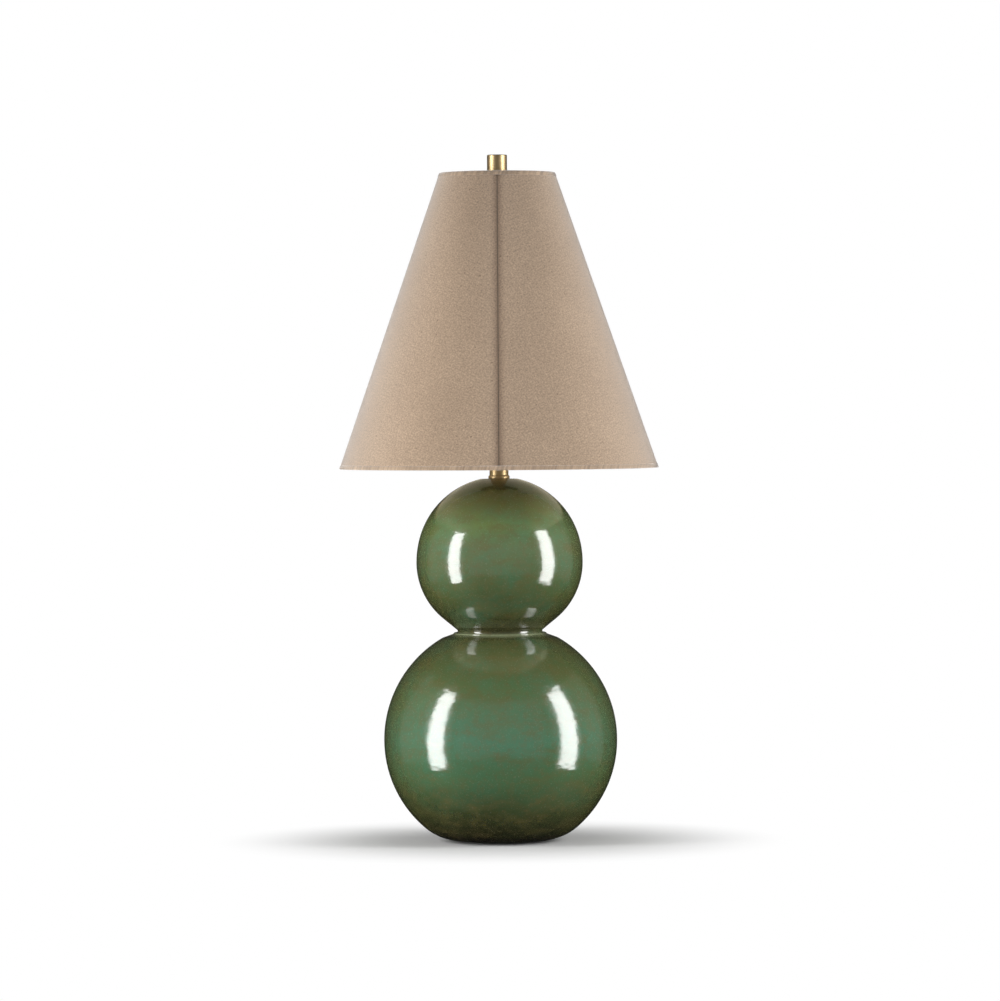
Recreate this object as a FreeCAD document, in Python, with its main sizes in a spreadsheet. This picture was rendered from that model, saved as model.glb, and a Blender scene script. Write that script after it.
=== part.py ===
import FreeCAD, Part
import math
import os
import re

import Sketcher

# A table lamp with a glazed ceramic body of two stacked globes, a brass neck,
# a harp that carries a tall cone shade, and a brass finial on top.
# Frame: millimetres, +Z up, origin on the table under the lamp's axis, front towards -Y.

os.makedirs("parts", exist_ok=True)
doc = FreeCAD.newDocument("double_gourd_lamp")
sheet = doc.addObject("Spreadsheet::Sheet", "Sizes")

# Driving sizes: name, millimetres or degrees, what it is
SIZES = [
    ("running_gap", "0.15", "radial play between a part and what turns or slides on it"),
    ("loose_gap", "0.3", "air between neighbours that must not touch"),
    ("felt_thickness", "1.0", "felt pad under the foot"),
    ("felt_margin", "3.0", "felt stops this far inside the flat of the foot"),
    ("felt_hole_radius", "30.5", "opening in the felt pad"),
    ("belly_radius", "111.0", "lower globe at its widest"),
    ("belly_rise", "95.5", "widest point of the lower globe above the foot face"),
    ("belly_top_arc", "112.4", "arc of the lower globe above its widest point"),
    ("foot_flat_radius", "40.0", "flat of the foot"),
    ("foot_round", "50.0", "rounding between the foot and the lower globe"),
    ("foot_hole_radius", "20.0", "opening in the bottom of the ceramic"),
    ("foot_recess_radius", "29.0", "recess under the foot for the bottom plate"),
    ("foot_recess_depth", "9.5", "depth of that recess"),
    ("foot_floor", "5.0", "ceramic floor over that recess"),
    ("collar_radius", "55.0", "where the lower globe turns flatter towards the waist"),
    ("collar_slope", "20.0", "angle of that flatter collar above level"),
    ("bead_radius", "44.5", "outer edge of the thin bead round the waist"),
    ("bead_width", "3.0", "width of the bead"),
    ("bead_round", "1.7", "rounding of the bead"),
    ("bead_rise", "0.7", "inner edge of the bead over its outer edge"),
    ("waist_round", "2.2", "hollow rounding of the waist"),
    ("waist_rise", "3.0", "height of that rounding"),
    ("waist_draw_in", "0.9", "how far that rounding draws in"),
    ("wall", "6.0", "ceramic wall"),
    ("head_radius", "79.2", "upper globe at its widest"),
    ("head_low_arc", "69.3", "arc of the upper globe under its widest point"),
    ("head_low_turn", "50.6", "angle of that arc, before the straight run to the waist"),
    ("head_shoulder_arc", "86.9", "arc of the upper globe over its widest point"),
    ("head_rise", "81.2", "full height of the upper globe's crown over its widest point"),
    ("crown_flat_radius", "17.5", "flat on top of the ceramic"),
    ("top_hole_radius", "6.2", "hole through the top of the ceramic"),
    ("pipe_radius", "5.1", "threaded lamp pipe"),
    ("pipe_bore", "3.6", "bore of the lamp pipe"),
    ("pipe_tail", "1.0", "pipe below its nut"),
    ("pipe_head", "1.5", "pipe above the floor of the socket cap"),
    ("pipe_slot_half", "3.2", "half width of the slot where the cord enters the pipe"),
    ("pipe_slot_length", "16.0", "length of that slot"),
    ("pipe_slot_rise", "8.0", "from the ceramic floor to the foot of the slot"),
    ("plate_radius", "28.0", "steel bottom plate"),
    ("plate_thickness", "2.0", "thickness of the bottom plate"),
    ("gasket_radius", "27.0", "rubber washer over the bottom plate"),
    ("gasket_thickness", "0.6", "thickness of the rubber washer"),
    ("washer_radius", "9.0", "lock washers on the pipe"),
    ("washer_thickness", "1.0", "thickness of a lock washer"),
    ("nut_flats", "14.3", "across the flats of a nut on the pipe"),
    ("nut_thickness", "4.0", "thickness of a nut"),
    ("nut_chamfer", "0.8", "chamfer on the top face of a nut"),
    ("outlet_angle", "38.0", "cord outlet, below the level of the widest point"),
    ("bushing_radius", "5.0", "barrel of the cord outlet bushing"),
    ("bushing_bore", "3.4", "bore of the cord outlet bushing"),
    ("bushing_lip_radius", "7.5", "lip of the bushing"),
    ("bushing_lip_thickness", "2.2", "thickness of the lip"),
    ("ring_radius", "10.1", "brass check ring at the foot of the neck"),
    ("ring_height", "3.5", "height of the check ring"),
    ("ring_round", "1.5", "rounding of the check ring's rim"),
    ("neck_radius", "9.0", "brass neck tube"),
    ("neck_wall", "1.0", "wall of the neck tube"),
    ("neck_length", "44.45", "length of the neck tube"),
    ("saddle_width", "12.0", "width of the harp saddle strip"),
    ("saddle_thickness", "1.6", "thickness of the saddle strip"),
    ("saddle_reach", "29.0", "from the axis to the middle of a saddle cup"),
    ("cup_wall", "0.8", "wall of a saddle cup"),
    ("cup_height", "14.0", "height of a saddle cup"),
    ("harp_wire_radius", "1.65", "harp wire"),
    ("harp_height", "224.7", "saddle strip to the middle of the harp's top plate"),
    ("harp_leg", "38.0", "foot of a harp leg, up to its first bend"),
    ("harp_flare_rise", "50.0", "from the first bend up to where the harp is widest"),
    ("harp_waist_rise", "78.0", "from there up to where the harp draws in"),
    ("harp_draw_in", "8.0", "how far the harp has drawn in there"),
    ("harp_bend", "30.0", "radius of the first bend of a leg"),
    ("harp_side_bend", "70.0", "radius of the two long bends of a leg"),
    ("harp_top_half", "16.0", "half of the flat stretch at the top of the harp"),
    ("harp_top_bend", "9.0", "radius of the bends at the top of the harp"),
    ("bulb_to_harp", "22.0", "air between the bulb and the harp wire at the widest point"),
    ("plate_half_width", "5.0", "half of the width of the harp's top plate"),
    ("plate_half_length", "11.0", "half of the length of the harp's top plate"),
    ("plate_height", "5.0", "height of the harp's top plate"),
    ("sleeve_lip", "1.5", "lip of a harp sleeve that grips the wire"),
    ("sleeve_wall", "0.7", "wall of a harp sleeve"),
    ("stud_radius", "3.1", "threaded stud on top of the harp"),
    ("stud_length", "17.0", "stud over its collar"),
    ("collar_thickness", "1.6", "collar of the stud, on which the shade hub sits"),
    ("stud_collar_radius", "6.5", "radius of that collar"),
    ("rivet_radius", "4.6", "swaged head of the stud under the top plate"),
    ("rivet_thickness", "1.2", "thickness of that head"),
    ("cap_hub_radius", "8.0", "threaded hub of the socket cap"),
    ("cap_hub_height", "8.0", "height of that hub"),
    ("cap_rim", "5.8", "straight rim of the socket cap"),
    ("cap_wall", "1.0", "wall of the socket cap"),
    ("set_screw_radius", "1.5", "set screw in the hub of the socket cap"),
    ("shell_radius", "17.0", "outside of the socket shell"),
    ("shell_wall", "0.5", "wall of the socket shell"),
    ("shell_height", "40.0", "height of the socket shell"),
    ("lip_height", "3.0", "flared lip of the socket shell"),
    ("lip_flare", "1.2", "how far the lip flares"),
    ("insulator_wall", "0.6", "paper insulator inside the socket shell"),
    ("switch_height", "12.0", "switch shaft over the foot of the socket shell"),
    ("block_height", "18.0", "phenolic block of the socket"),
    ("block_foot_height", "7.0", "narrow foot of the block, with the terminals"),
    ("thread_shell_wall", "0.5", "wall of the screw shell that takes the bulb"),
    ("thread_shell_height", "20.0", "height of the screw shell"),
    ("thread_floor_radius", "6.0", "opening in the floor of the screw shell"),
    ("terminal_radius", "2.4", "head of a terminal screw"),
    ("terminal_length", "3.5", "head of a terminal screw, outwards"),
    ("contact_half_width", "3.0", "half width of the centre contact"),
    ("contact_thickness", "0.6", "thickness of the centre contact"),
    ("shaft_radius", "2.4", "switch shaft"),
    ("knob_radius", "6.0", "turn knob of the switch"),
    ("knob_length", "15.0", "length of the turn knob"),
    ("knob_gap", "4.0", "from the socket shell to the turn knob"),
    ("knob_round", "1.2", "rounding of the turn knob's rim"),
    ("knob_collar", "5.0", "round collar of the turn knob, before its wing"),
    ("wing_half_width", "2.2", "half width of the wing"),
    ("bulb_radius", "30.0", "bulb at its widest"),
    ("bulb_cap_radius", "13.0", "screw cap of the bulb"),
    ("bulb_length", "108.0", "length of the bulb"),
    ("bulb_cap_height", "24.0", "height of the screw cap"),
    ("bulb_cap_wall", "0.5", "wall of the screw cap"),
    ("bulb_button", "3.5", "insulator and contact under the screw cap"),
    ("bulb_button_radius", "4.5", "contact of the bulb"),
    ("bulb_overlap", "3.0", "how far the housing reaches down over the cap"),
    ("bulb_neck_radius", "15.0", "housing of the bulb at the cap"),
    ("bulb_neck_flare", "90.0", "hollow arc of the housing between cap and globe"),
    ("bulb_wall", "1.2", "wall of the bulb's globe and housing"),
    ("globe_cut", "15.0", "open rim of the bulb's globe under its widest point"),
    ("shade_top_radius", "55.4", "outside of the shade at its top rim"),
    ("shade_bottom_radius", "152.5", "outside of the shade at its bottom rim"),
    ("shade_height", "281.3", "height of the shade"),
    ("shade_recess", "11.8", "shade hub below the top rim"),
    ("cloth_thickness", "2.0", "linen on its fleece"),
    ("liner_thickness", "0.6", "stiff liner of the shade"),
    ("trim_thickness", "0.5", "cloth of the rolled rims"),
    ("trim_height", "4.0", "rolled rim on the outside of the shade"),
    ("seam_depth", "1.5", "how deep the panel edges draw in at a seam"),
    ("seam_half_width", "6.0", "half width of a seam's hollow"),
    ("seam_gap", "1.0", "between the two panel edges at the bottom of the hollow"),
    ("tape_half_width", "2.6", "half width of the tape behind a seam"),
    ("tape_thickness", "0.3", "thickness of that tape"),
    ("ring_wire_radius", "1.25", "wire of the shade's rings and arms"),
    ("hub_radius", "9.5", "washer at the middle of the shade's arms"),
    ("hub_cover", "0.1", "metal of that washer over and under an arm's wire"),
    ("arm_bend", "6.0", "bend radius of an arm"),
    ("arm_foot", "7.0", "how far an arm's bend lies inside the top ring"),
    ("finial_radius", "9.5", "brass finial"),
    ("finial_height", "28.7", "height of the finial"),
    ("finial_chamfer", "0.6", "chamfer on the rim of the finial"),
    ("cut_margin", "2.0", "how far a cutting tool stands past what it cuts"),
]
ARM_COUNT = 3

for row, (name, amount, meaning) in enumerate(SIZES, start=1):
    sheet.set("A%d" % row, name)
    sheet.set("B%d" % row, amount)
    sheet.set("C%d" % row, meaning)
    sheet.setAlias("B%d" % row, name)
doc.recompute()

# Places worked out from the driving sizes
ALIASES = {name for name, _, _ in SIZES}
WORKED = {}


def let(name, text):
    """Name a place or size that follows from the driving sizes."""
    WORKED[name] = text


def formula(text):
    """The expression that the document understands, in terms of the sheet's cells."""
    def swap(match):
        word = match.group(0)
        if word in WORKED:
            return "(" + formula(WORKED[word]) + ")"
        return "Sizes." + word if word in ALIASES else word
    return re.sub(r"[A-Za-z_]\w*", swap, str(text))


def size(text):
    """The value of a formula, in millimetres or degrees."""
    return float(sheet.evalExpression(formula(text)))


def inset(point, centre, radius):
    """The point of the inner wall behind a point of an arc of the outer wall."""
    share = "(({0}) - wall) / ({0})".format(radius)
    return tuple("({1}) + (({0}) - ({1})) * {2}".format(p, c, share) for p, c in zip(point, centre))


def touch(centre, radius, other_centre, other_radius):
    """Where an arc runs smoothly into another arc that bends the same way."""
    share = "({0}) / (({0}) - ({1}))".format(radius, other_radius)
    return tuple("({0}) + (({1}) - ({0})) * {2}".format(c, o, share)
                 for c, o in zip(centre, other_centre))


# Helpers that make sketches and solids
def plane(body, role):
    """One of the body's own origin planes."""
    return next(item for item in body.Origin.OriginFeatures if item.Role == role)


def new_body(label):
    body = doc.addObject("PartDesign::Body", label)
    body.Label = label
    return body


def new_sketch(body, name, role, offset=None):
    """A sketch on one of the body's origin planes, lifted off it by a formula."""
    sketch = body.newObject("Sketcher::SketchObject", name)
    sketch.AttachmentSupport = [(plane(body, role), "")]
    sketch.MapMode = "FlatFace"
    if offset:
        sketch.setExpression("AttachmentOffset.Base.z", formula(offset))
    return sketch


def bind(sketch, constraint, text):
    """Add a constraint and tie its value to a formula."""
    index = sketch.addConstraint(constraint)
    sketch.setExpression("Constraints[%d]" % index, formula(text))


def pin_point(sketch, geometry, position, x, y):
    """Hold a point of the sketch at the place given by two formulas."""
    for kind, text, axis in (("DistanceX", x, -2), ("DistanceY", y, -1)):
        if text == "0":
            sketch.addConstraint(Sketcher.Constraint("PointOnObject", geometry, position, axis))
        else:
            bind(sketch, Sketcher.Constraint(kind, -1, 1, geometry, position, size(text)), text)


def outline(sketch, corners):
    """A closed outline. A corner is (x, y) or (x, y, radius, turn), with the arc that
    leads to it: turn +1 bends to the left on the way, -1 to the right."""
    count = len(corners)
    places = [FreeCAD.Vector(size(c[0]), size(c[1]), 0) for c in corners]
    ends = []
    for k, corner in enumerate(corners):
        start, end = places[k - 1], places[k]
        if len(corner) == 2:
            edge = sketch.addGeometry(Part.LineSegment(start, end))
            ends.append((edge, 1, 2))
            continue
        radius, turn = size(corner[2]), corner[3]
        chord = end - start
        rise = math.sqrt(max(radius ** 2 - (chord.Length / 2) ** 2, 0.0))
        side = FreeCAD.Vector(-chord.y, chord.x, 0).normalize() * turn
        centre = (start + end) * 0.5 + side * rise
        angles = [math.atan2(p.y - centre.y, p.x - centre.x) for p in (start, end)]
        if turn < 0:
            angles.reverse()
        circle = Part.Circle(centre, FreeCAD.Vector(0, 0, 1), radius)
        edge = sketch.addGeometry(Part.ArcOfCircle(circle, angles[0], angles[1]))
        ends.append((edge, 1, 2) if turn > 0 else (edge, 2, 1))
    for k in range(count):
        edge, _, tail = ends[k]
        following, head, _ = ends[(k + 1) % count]
        sketch.addConstraint(Sketcher.Constraint("Coincident", edge, tail, following, head))
        pin_point(sketch, edge, tail, corners[k][0], corners[k][1])
        if len(corners[k]) > 2:
            radius = corners[k][2]
            bind(sketch, Sketcher.Constraint("Radius", edge, size(radius)), radius)


def circle(sketch, x, y, radius):
    """A circle at the place given by two formulas."""
    centre = FreeCAD.Vector(size(x), size(y), 0)
    edge = sketch.addGeometry(Part.Circle(centre, FreeCAD.Vector(0, 0, 1), size(radius)))
    pin_point(sketch, edge, 3, x, y)
    bind(sketch, Sketcher.Constraint("Radius", edge, size(radius)), radius)


def bent_path(sketch, corners, bends):
    """An open path of straight runs with a bend of a given radius at each inner corner."""
    places = [FreeCAD.Vector(size(x), size(y), 0) for x, y in corners]
    runs, arcs = [], []
    start = places[0]
    for k in range(1, len(places) - 1):
        back = (places[k - 1] - places[k]).normalize()
        ahead = (places[k + 1] - places[k]).normalize()
        half = back.getAngle(ahead) / 2
        radius = size(bends[k - 1])
        first = places[k] + back * (radius / math.tan(half))
        last = places[k] + ahead * (radius / math.tan(half))
        centre = places[k] + (back + ahead).normalize() * (radius / math.sin(half))
        left = back.x * ahead.y - back.y * ahead.x < 0
        angles = [math.atan2(p.y - centre.y, p.x - centre.x) for p in (first, last)]
        if not left:
            angles.reverse()
        runs.append(sketch.addGeometry(Part.LineSegment(start, first)))
        bend = Part.ArcOfCircle(Part.Circle(centre, FreeCAD.Vector(0, 0, 1), radius), *angles)
        arcs.append((sketch.addGeometry(bend), 1 if left else 2, 2 if left else 1))
        start = last
    runs.append(sketch.addGeometry(Part.LineSegment(start, places[-1])))
    for k, (arc, head, tail) in enumerate(arcs):
        sketch.addConstraint(Sketcher.Constraint("Tangent", runs[k], 2, arc, head))
        sketch.addConstraint(Sketcher.Constraint("Tangent", arc, tail, runs[k + 1], 1))
        bind(sketch, Sketcher.Constraint("Radius", arc, size(bends[k])), bends[k])
        corner = sketch.addGeometry(Part.Point(places[k + 1]), True)
        pin_point(sketch, corner, 1, *corners[k + 1])
        for run in (runs[k], runs[k + 1]):
            sketch.addConstraint(Sketcher.Constraint("PointOnObject", corner, 1, run))
    pin_point(sketch, runs[0], 1, *corners[0])
    pin_point(sketch, runs[-1], 2, *corners[-1])


def turned(label, corners, lift=None):
    """A sub-part turned about its own vertical axis from half of its section."""
    body = new_body(label)
    sketch = new_sketch(body, label + "_section", "XZ_Plane")
    outline(sketch, corners)
    turn = body.newObject("PartDesign::Revolution", label + "_turned")
    turn.Profile = sketch
    turn.ReferenceAxis = (sketch, ["V_Axis"])
    turn.Angle = 360
    if lift:
        body.setExpression("Placement.Base.z", formula(lift))
    return body


def tube(label, inner, outer, height, lift):
    """A plain tube or washer."""
    corners = [(inner, "0"), (outer, "0"), (outer, height), (inner, height)]
    return turned(label, corners, lift)


def pad(body, sketch, height, name):
    feature = body.newObject("PartDesign::Pad", name)
    feature.Profile = sketch
    feature.setExpression("Length", formula(height))
    return feature


def rod(name, radius, length):
    """A cylinder along its own Z, for holes and pins."""
    cylinder = doc.addObject("Part::Cylinder", name)
    cylinder.setExpression("Radius", formula(radius))
    cylinder.setExpression("Height", formula(length))
    return cylinder


def cut(label, base, tool):
    """The base with the tool taken out of it."""
    result = doc.addObject("Part::Cut", label)
    result.Base = base
    result.Tool = tool
    result.Label = label
    return result


def place(item, x="0", y="0", z="0"):
    """Tie an object's place to three formulas."""
    for axis, text in zip("xyz", (x, y, z)):
        if text != "0":
            item.setExpression("Placement.Base." + axis, formula(text))


# Height of each piece, from the table upwards
let("foot_z", "felt_thickness")
let("floor_z", "foot_z + foot_recess_depth + foot_floor")
let("plate_z", "foot_z + foot_recess_depth - gasket_thickness - plate_thickness")
let("bottom_washer_z", "plate_z - washer_thickness")
let("bottom_nut_z", "bottom_washer_z - nut_thickness")
let("pipe_z", "bottom_nut_z - pipe_tail")
let("pipe_slot_z", "floor_z + pipe_slot_rise")
let("belly_z", "foot_z + belly_rise")
let("head_z", "head_low_z + head_low_arc * sin(head_low_turn * 1 deg)")
let("seat_z", "crown_centre_z + sqrt(crown_arc ^ 2 - crown_flat_radius ^ 2)")
let("neck_z", "seat_z + ring_height")
let("saddle_z", "neck_z + neck_length")
let("lock_z", "saddle_z + saddle_thickness")
let("cap_z", "lock_z + washer_thickness")
let("cap_radius", "shell_radius + running_gap + cap_wall")
let("cap_dome", "cap_radius - cap_hub_radius")
let("shell_z", "cap_z + cap_hub_height + cap_dome")
let("block_top_z", "shell_z + block_height")
let("bulb_z", "block_top_z + contact_thickness")
let("harp_top_z", "saddle_z + harp_height")
let("hub_z", "harp_top_z + plate_height / 2 + collar_thickness")
let("hub_thickness", "2 * (ring_wire_radius + hub_cover)")
let("shade_top_z", "hub_z + hub_thickness + shade_recess")
let("shade_z", "shade_top_z - shade_height")
let("finial_z", "hub_z + hub_thickness")

# The outline of the ceramic: arcs that run smoothly into each other
let("foot_reach", "belly_radius - foot_flat_radius")
let("foot_climb", "belly_rise - foot_round")
let("under_arc", "(foot_reach ^ 2 + foot_climb ^ 2 - foot_round ^ 2) / (2 * (foot_reach - foot_round))")
let("shoulder_reach", "head_radius - head_shoulder_arc")
let("crown_arc", "(head_shoulder_arc ^ 2 - shoulder_reach ^ 2 - head_rise ^ 2)"
    " / (2 * (head_shoulder_arc - head_rise))")
let("crown_centre_z", "head_z + head_rise - crown_arc")
let("collar_z", "belly_z + sqrt(belly_top_arc ^ 2 - (collar_radius - belly_radius + belly_top_arc) ^ 2)")
let("bead_z", "collar_z + (collar_radius - bead_radius) * tan(collar_slope * 1 deg)")
let("bead_inner", "bead_radius - bead_width")
let("waist_inner", "bead_inner - wall")
let("waist_low_z", "belly_z + sqrt((belly_top_arc - wall) ^ 2"
    " - (waist_inner - belly_radius + belly_top_arc) ^ 2)")
let("head_low_x", "head_radius - head_low_arc * (1 - cos(head_low_turn * 1 deg))")
let("floor_reach", "belly_radius - under_arc + sqrt((under_arc - wall) ^ 2 - (belly_z - floor_z) ^ 2)")
let("waist_z", "bead_z + bead_rise")
let("waist_top_z", "waist_z + waist_rise")
let("waist_top_x", "bead_inner - waist_draw_in")
let("head_low_z", "waist_top_z + (head_low_x - waist_top_x) / tan(head_low_turn * 1 deg)")

FOOT_CENTRE = ("foot_flat_radius", "foot_z + foot_round")
UNDER_CENTRE = ("belly_radius - under_arc", "belly_z")
OVER_CENTRE = ("belly_radius - belly_top_arc", "belly_z")
LOW_CENTRE = ("head_radius - head_low_arc", "head_z")
SHOULDER_CENTRE = ("shoulder_reach", "head_z")
CROWN_CENTRE = ("0", "crown_centre_z")
FOOT_JOIN = touch(UNDER_CENTRE, "under_arc", FOOT_CENTRE, "foot_round")
CROWN_JOIN = touch(SHOULDER_CENTRE, "head_shoulder_arc", CROWN_CENTRE, "crown_arc")
LOW_JOIN = ("head_low_x", "head_low_z")


def lower_globe():
    """The hollow lower globe, from the foot to the bead, with a hole behind for the cord."""
    corners = [
        ("foot_recess_radius", "foot_z"),
        ("foot_flat_radius", "foot_z"),
        FOOT_JOIN + ("foot_round", 1),
        ("belly_radius", "belly_z", "under_arc", 1),
        ("collar_radius", "collar_z", "belly_top_arc", 1),
        ("bead_radius", "bead_z"),
        ("bead_inner", "waist_z", "bead_round", 1),
        ("waist_inner", "waist_z"),
        ("waist_inner", "waist_low_z"),
        ("belly_radius - wall", "belly_z", "belly_top_arc - wall", -1),
        ("floor_reach", "floor_z", "under_arc - wall", -1),
        ("foot_hole_radius", "floor_z"),
        ("foot_hole_radius", "foot_z + foot_recess_depth"),
        ("foot_recess_radius", "foot_z + foot_recess_depth"),
    ]
    vessel = turned("lower_vessel", corners)
    hole = rod("cord_hole", "bushing_radius + running_gap", "wall + 2 * cut_margin")
    aim_outlet(hole, "under_arc - wall - cut_margin")
    return cut("ceramic_lower_globe", vessel, hole)


def upper_globe():
    """The hollow upper globe, joined to the lower one on top of the bead before firing."""
    inner_low = inset(LOW_JOIN, LOW_CENTRE, "head_low_arc")
    inner_crown = inset(CROWN_JOIN, CROWN_CENTRE, "crown_arc")
    corners = [
        ("waist_inner", "waist_z"),
        ("bead_inner", "waist_z"),
        ("waist_top_x", "waist_top_z", "waist_round", -1),
        LOW_JOIN,
        ("head_radius", "head_z", "head_low_arc", 1),
        CROWN_JOIN + ("head_shoulder_arc", 1),
        ("crown_flat_radius", "seat_z", "crown_arc", 1),
        ("top_hole_radius", "seat_z"),
        ("top_hole_radius", "crown_centre_z + sqrt((crown_arc - wall) ^ 2 - top_hole_radius ^ 2)"),
        inner_crown + ("crown_arc - wall", -1),
        ("head_radius - wall", "head_z", "head_shoulder_arc - wall", -1),
        inner_low + ("head_low_arc - wall", -1),
        ("waist_inner", "waist_top_z"),
    ]
    return turned("ceramic_upper_globe", corners)


def aim_outlet(item, distance):
    """Turn an object square to the lower globe at the back, this far from the arc's centre."""
    item.Placement = FreeCAD.Placement(FreeCAD.Vector(), FreeCAD.Rotation(FreeCAD.Vector(-1, 0, 0), 1))
    item.setExpression("Placement.Rotation.Angle", formula("(90 + outlet_angle) * 1 deg"))
    reach = "belly_radius - under_arc + (%s) * cos(outlet_angle * 1 deg)" % distance
    drop = "belly_z - (%s) * sin(outlet_angle * 1 deg)" % distance
    place(item, y=reach, z=drop)


def cord_bushing():
    """A lipped bushing in the hole behind; the cord itself isn't part of this model."""
    corners = [
        ("bushing_bore", "0"),
        ("bushing_radius", "0"),
        ("bushing_radius", "wall + loose_gap"),
        ("bushing_lip_radius", "wall + loose_gap"),
        ("bushing_lip_radius", "wall + loose_gap + bushing_lip_thickness / 2"),
        ("bushing_lip_radius - bushing_lip_thickness / 2",
         "wall + loose_gap + bushing_lip_thickness", "bushing_lip_thickness / 2", 1),
        ("bushing_bore", "wall + loose_gap + bushing_lip_thickness"),
    ]
    body = turned("cord_bushing", corners)
    aim_outlet(body, "under_arc - wall")
    return body


def hex_nut(label, lift):
    """A nut on the pipe: a hexagon with its hole, chamfered at the top."""
    body = new_body(label)
    sketch = new_sketch(body, label + "_section", "XY_Plane")
    half = "nut_flats / 2"
    edge = "nut_flats / sqrt(3)"
    outline(sketch, [(half, "-%s / 2" % edge), (half, "%s / 2" % edge), ("0", edge),
                     ("-" + half, "%s / 2" % edge), ("-" + half, "-%s / 2" % edge),
                     ("0", "-" + edge)])
    circle(sketch, "0", "0", "pipe_radius + running_gap")
    block = pad(body, sketch, "nut_thickness", label + "_pad")
    doc.recompute()
    rim = ["Edge%d" % (k + 1) for k, line in enumerate(block.Shape.Edges)
           if line.BoundBox.ZMin > size("nut_thickness / 2") and isinstance(line.Curve, Part.Line)]
    bevel = body.newObject("PartDesign::Chamfer", label + "_bevel")
    bevel.Base = (block, rim)
    bevel.setExpression("Size", formula("nut_chamfer"))
    body.setExpression("Placement.Base.z", formula(lift))
    return body


def check_ring():
    """The low brass ring with a rounded rim on which the neck stands."""
    corners = [
        ("pipe_radius + running_gap", "0"),
        ("ring_radius - ring_round / 2", "0"),
        ("ring_radius", "ring_round / 2", "ring_round / 2", 1),
        ("ring_radius", "ring_height - ring_round"),
        ("ring_radius - ring_round", "ring_height", "ring_round", 1),
        ("pipe_radius + running_gap", "ring_height"),
    ]
    return turned("check_ring", corners, "seat_z")


def lamp_pipe():
    """The threaded pipe that holds the whole lamp together, bored and slotted for the cord."""
    top = "cap_z + cap_hub_height + cap_wall + pipe_head"
    stock = tube("pipe_stock", "pipe_bore", "pipe_radius", top + " - pipe_z", "pipe_z")
    slot = new_body("pipe_slot")
    sketch = new_sketch(slot, "pipe_slot_outline", "XZ_Plane", "-(pipe_radius + cut_margin)")
    half = "pipe_slot_half"
    outline(sketch, [
        ("-" + half, "pipe_slot_z + " + half),
        ("0", "pipe_slot_z", half, 1),
        (half, "pipe_slot_z + " + half, half, 1),
        (half, "pipe_slot_z + pipe_slot_length - " + half),
        ("0", "pipe_slot_z + pipe_slot_length", half, 1),
        ("-" + half, "pipe_slot_z + pipe_slot_length - " + half, half, 1),
    ])
    pad(slot, sketch, "pipe_radius + cut_margin", "pipe_slot_depth")
    return cut("lamp_pipe", stock, slot)


def base_pieces():
    """Everything from the felt up to the neck, clamped along the pipe."""
    bore = "pipe_radius + running_gap"
    felt_edge = "foot_flat_radius - felt_margin"
    gasket_hole = "foot_hole_radius + loose_gap"
    return [
        tube("felt_pad", "felt_hole_radius", felt_edge, "felt_thickness", None),
        lower_globe(),
        upper_globe(),
        cord_bushing(),
        tube("bottom_gasket", gasket_hole, "gasket_radius", "gasket_thickness",
             "plate_z + plate_thickness"),
        tube("bottom_plate", bore, "plate_radius", "plate_thickness", "plate_z"),
        tube("bottom_lock_washer", bore, "washer_radius", "washer_thickness", "bottom_washer_z"),
        hex_nut("bottom_nut", "bottom_nut_z"),
        lamp_pipe(),
        check_ring(),
        tube("neck_tube", "neck_radius - neck_wall", "neck_radius", "neck_length", "neck_z"),
        tube("saddle_washer", bore, "washer_radius", "washer_thickness", "lock_z"),
    ]


# Harp: its saddle on the neck, the wire frame, the two sleeves and the swivelling stud
let("cup_bore", "harp_wire_radius + running_gap")
let("cup_radius", "cup_bore + cup_wall")
let("strip_half", "saddle_width / 2")
let("harp_foot_z", "saddle_z + saddle_thickness")
let("harp_crest", "harp_height - saddle_thickness")
let("harp_half", "bulb_radius + bulb_to_harp")
let("harp_upper_half", "harp_half - harp_draw_in")
let("stud_bore", "stud_radius + running_gap")


def harp_saddle():
    """A steel strip across the neck with an upright cup at each end."""
    body = new_body("harp_saddle")
    strip = new_sketch(body, "saddle_outline", "XY_Plane")
    outline(strip, [
        ("saddle_reach", "-strip_half"),
        ("saddle_reach + strip_half", "0", "strip_half", 1),
        ("saddle_reach", "strip_half", "strip_half", 1),
        ("-saddle_reach", "strip_half"),
        ("-saddle_reach - strip_half", "0", "strip_half", 1),
        ("-saddle_reach", "-strip_half", "strip_half", 1),
    ])
    circle(strip, "0", "0", "pipe_radius + running_gap")
    pad(body, strip, "saddle_thickness", "saddle_strip")
    cups = new_sketch(body, "cup_outlines", "XY_Plane", "saddle_thickness")
    for side in ("-saddle_reach", "saddle_reach"):
        circle(cups, side, "0", "cup_radius")
        circle(cups, side, "0", "cup_bore")
    pad(body, cups, "cup_height", "saddle_cups")
    place(body, z="saddle_z")
    return body


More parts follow.
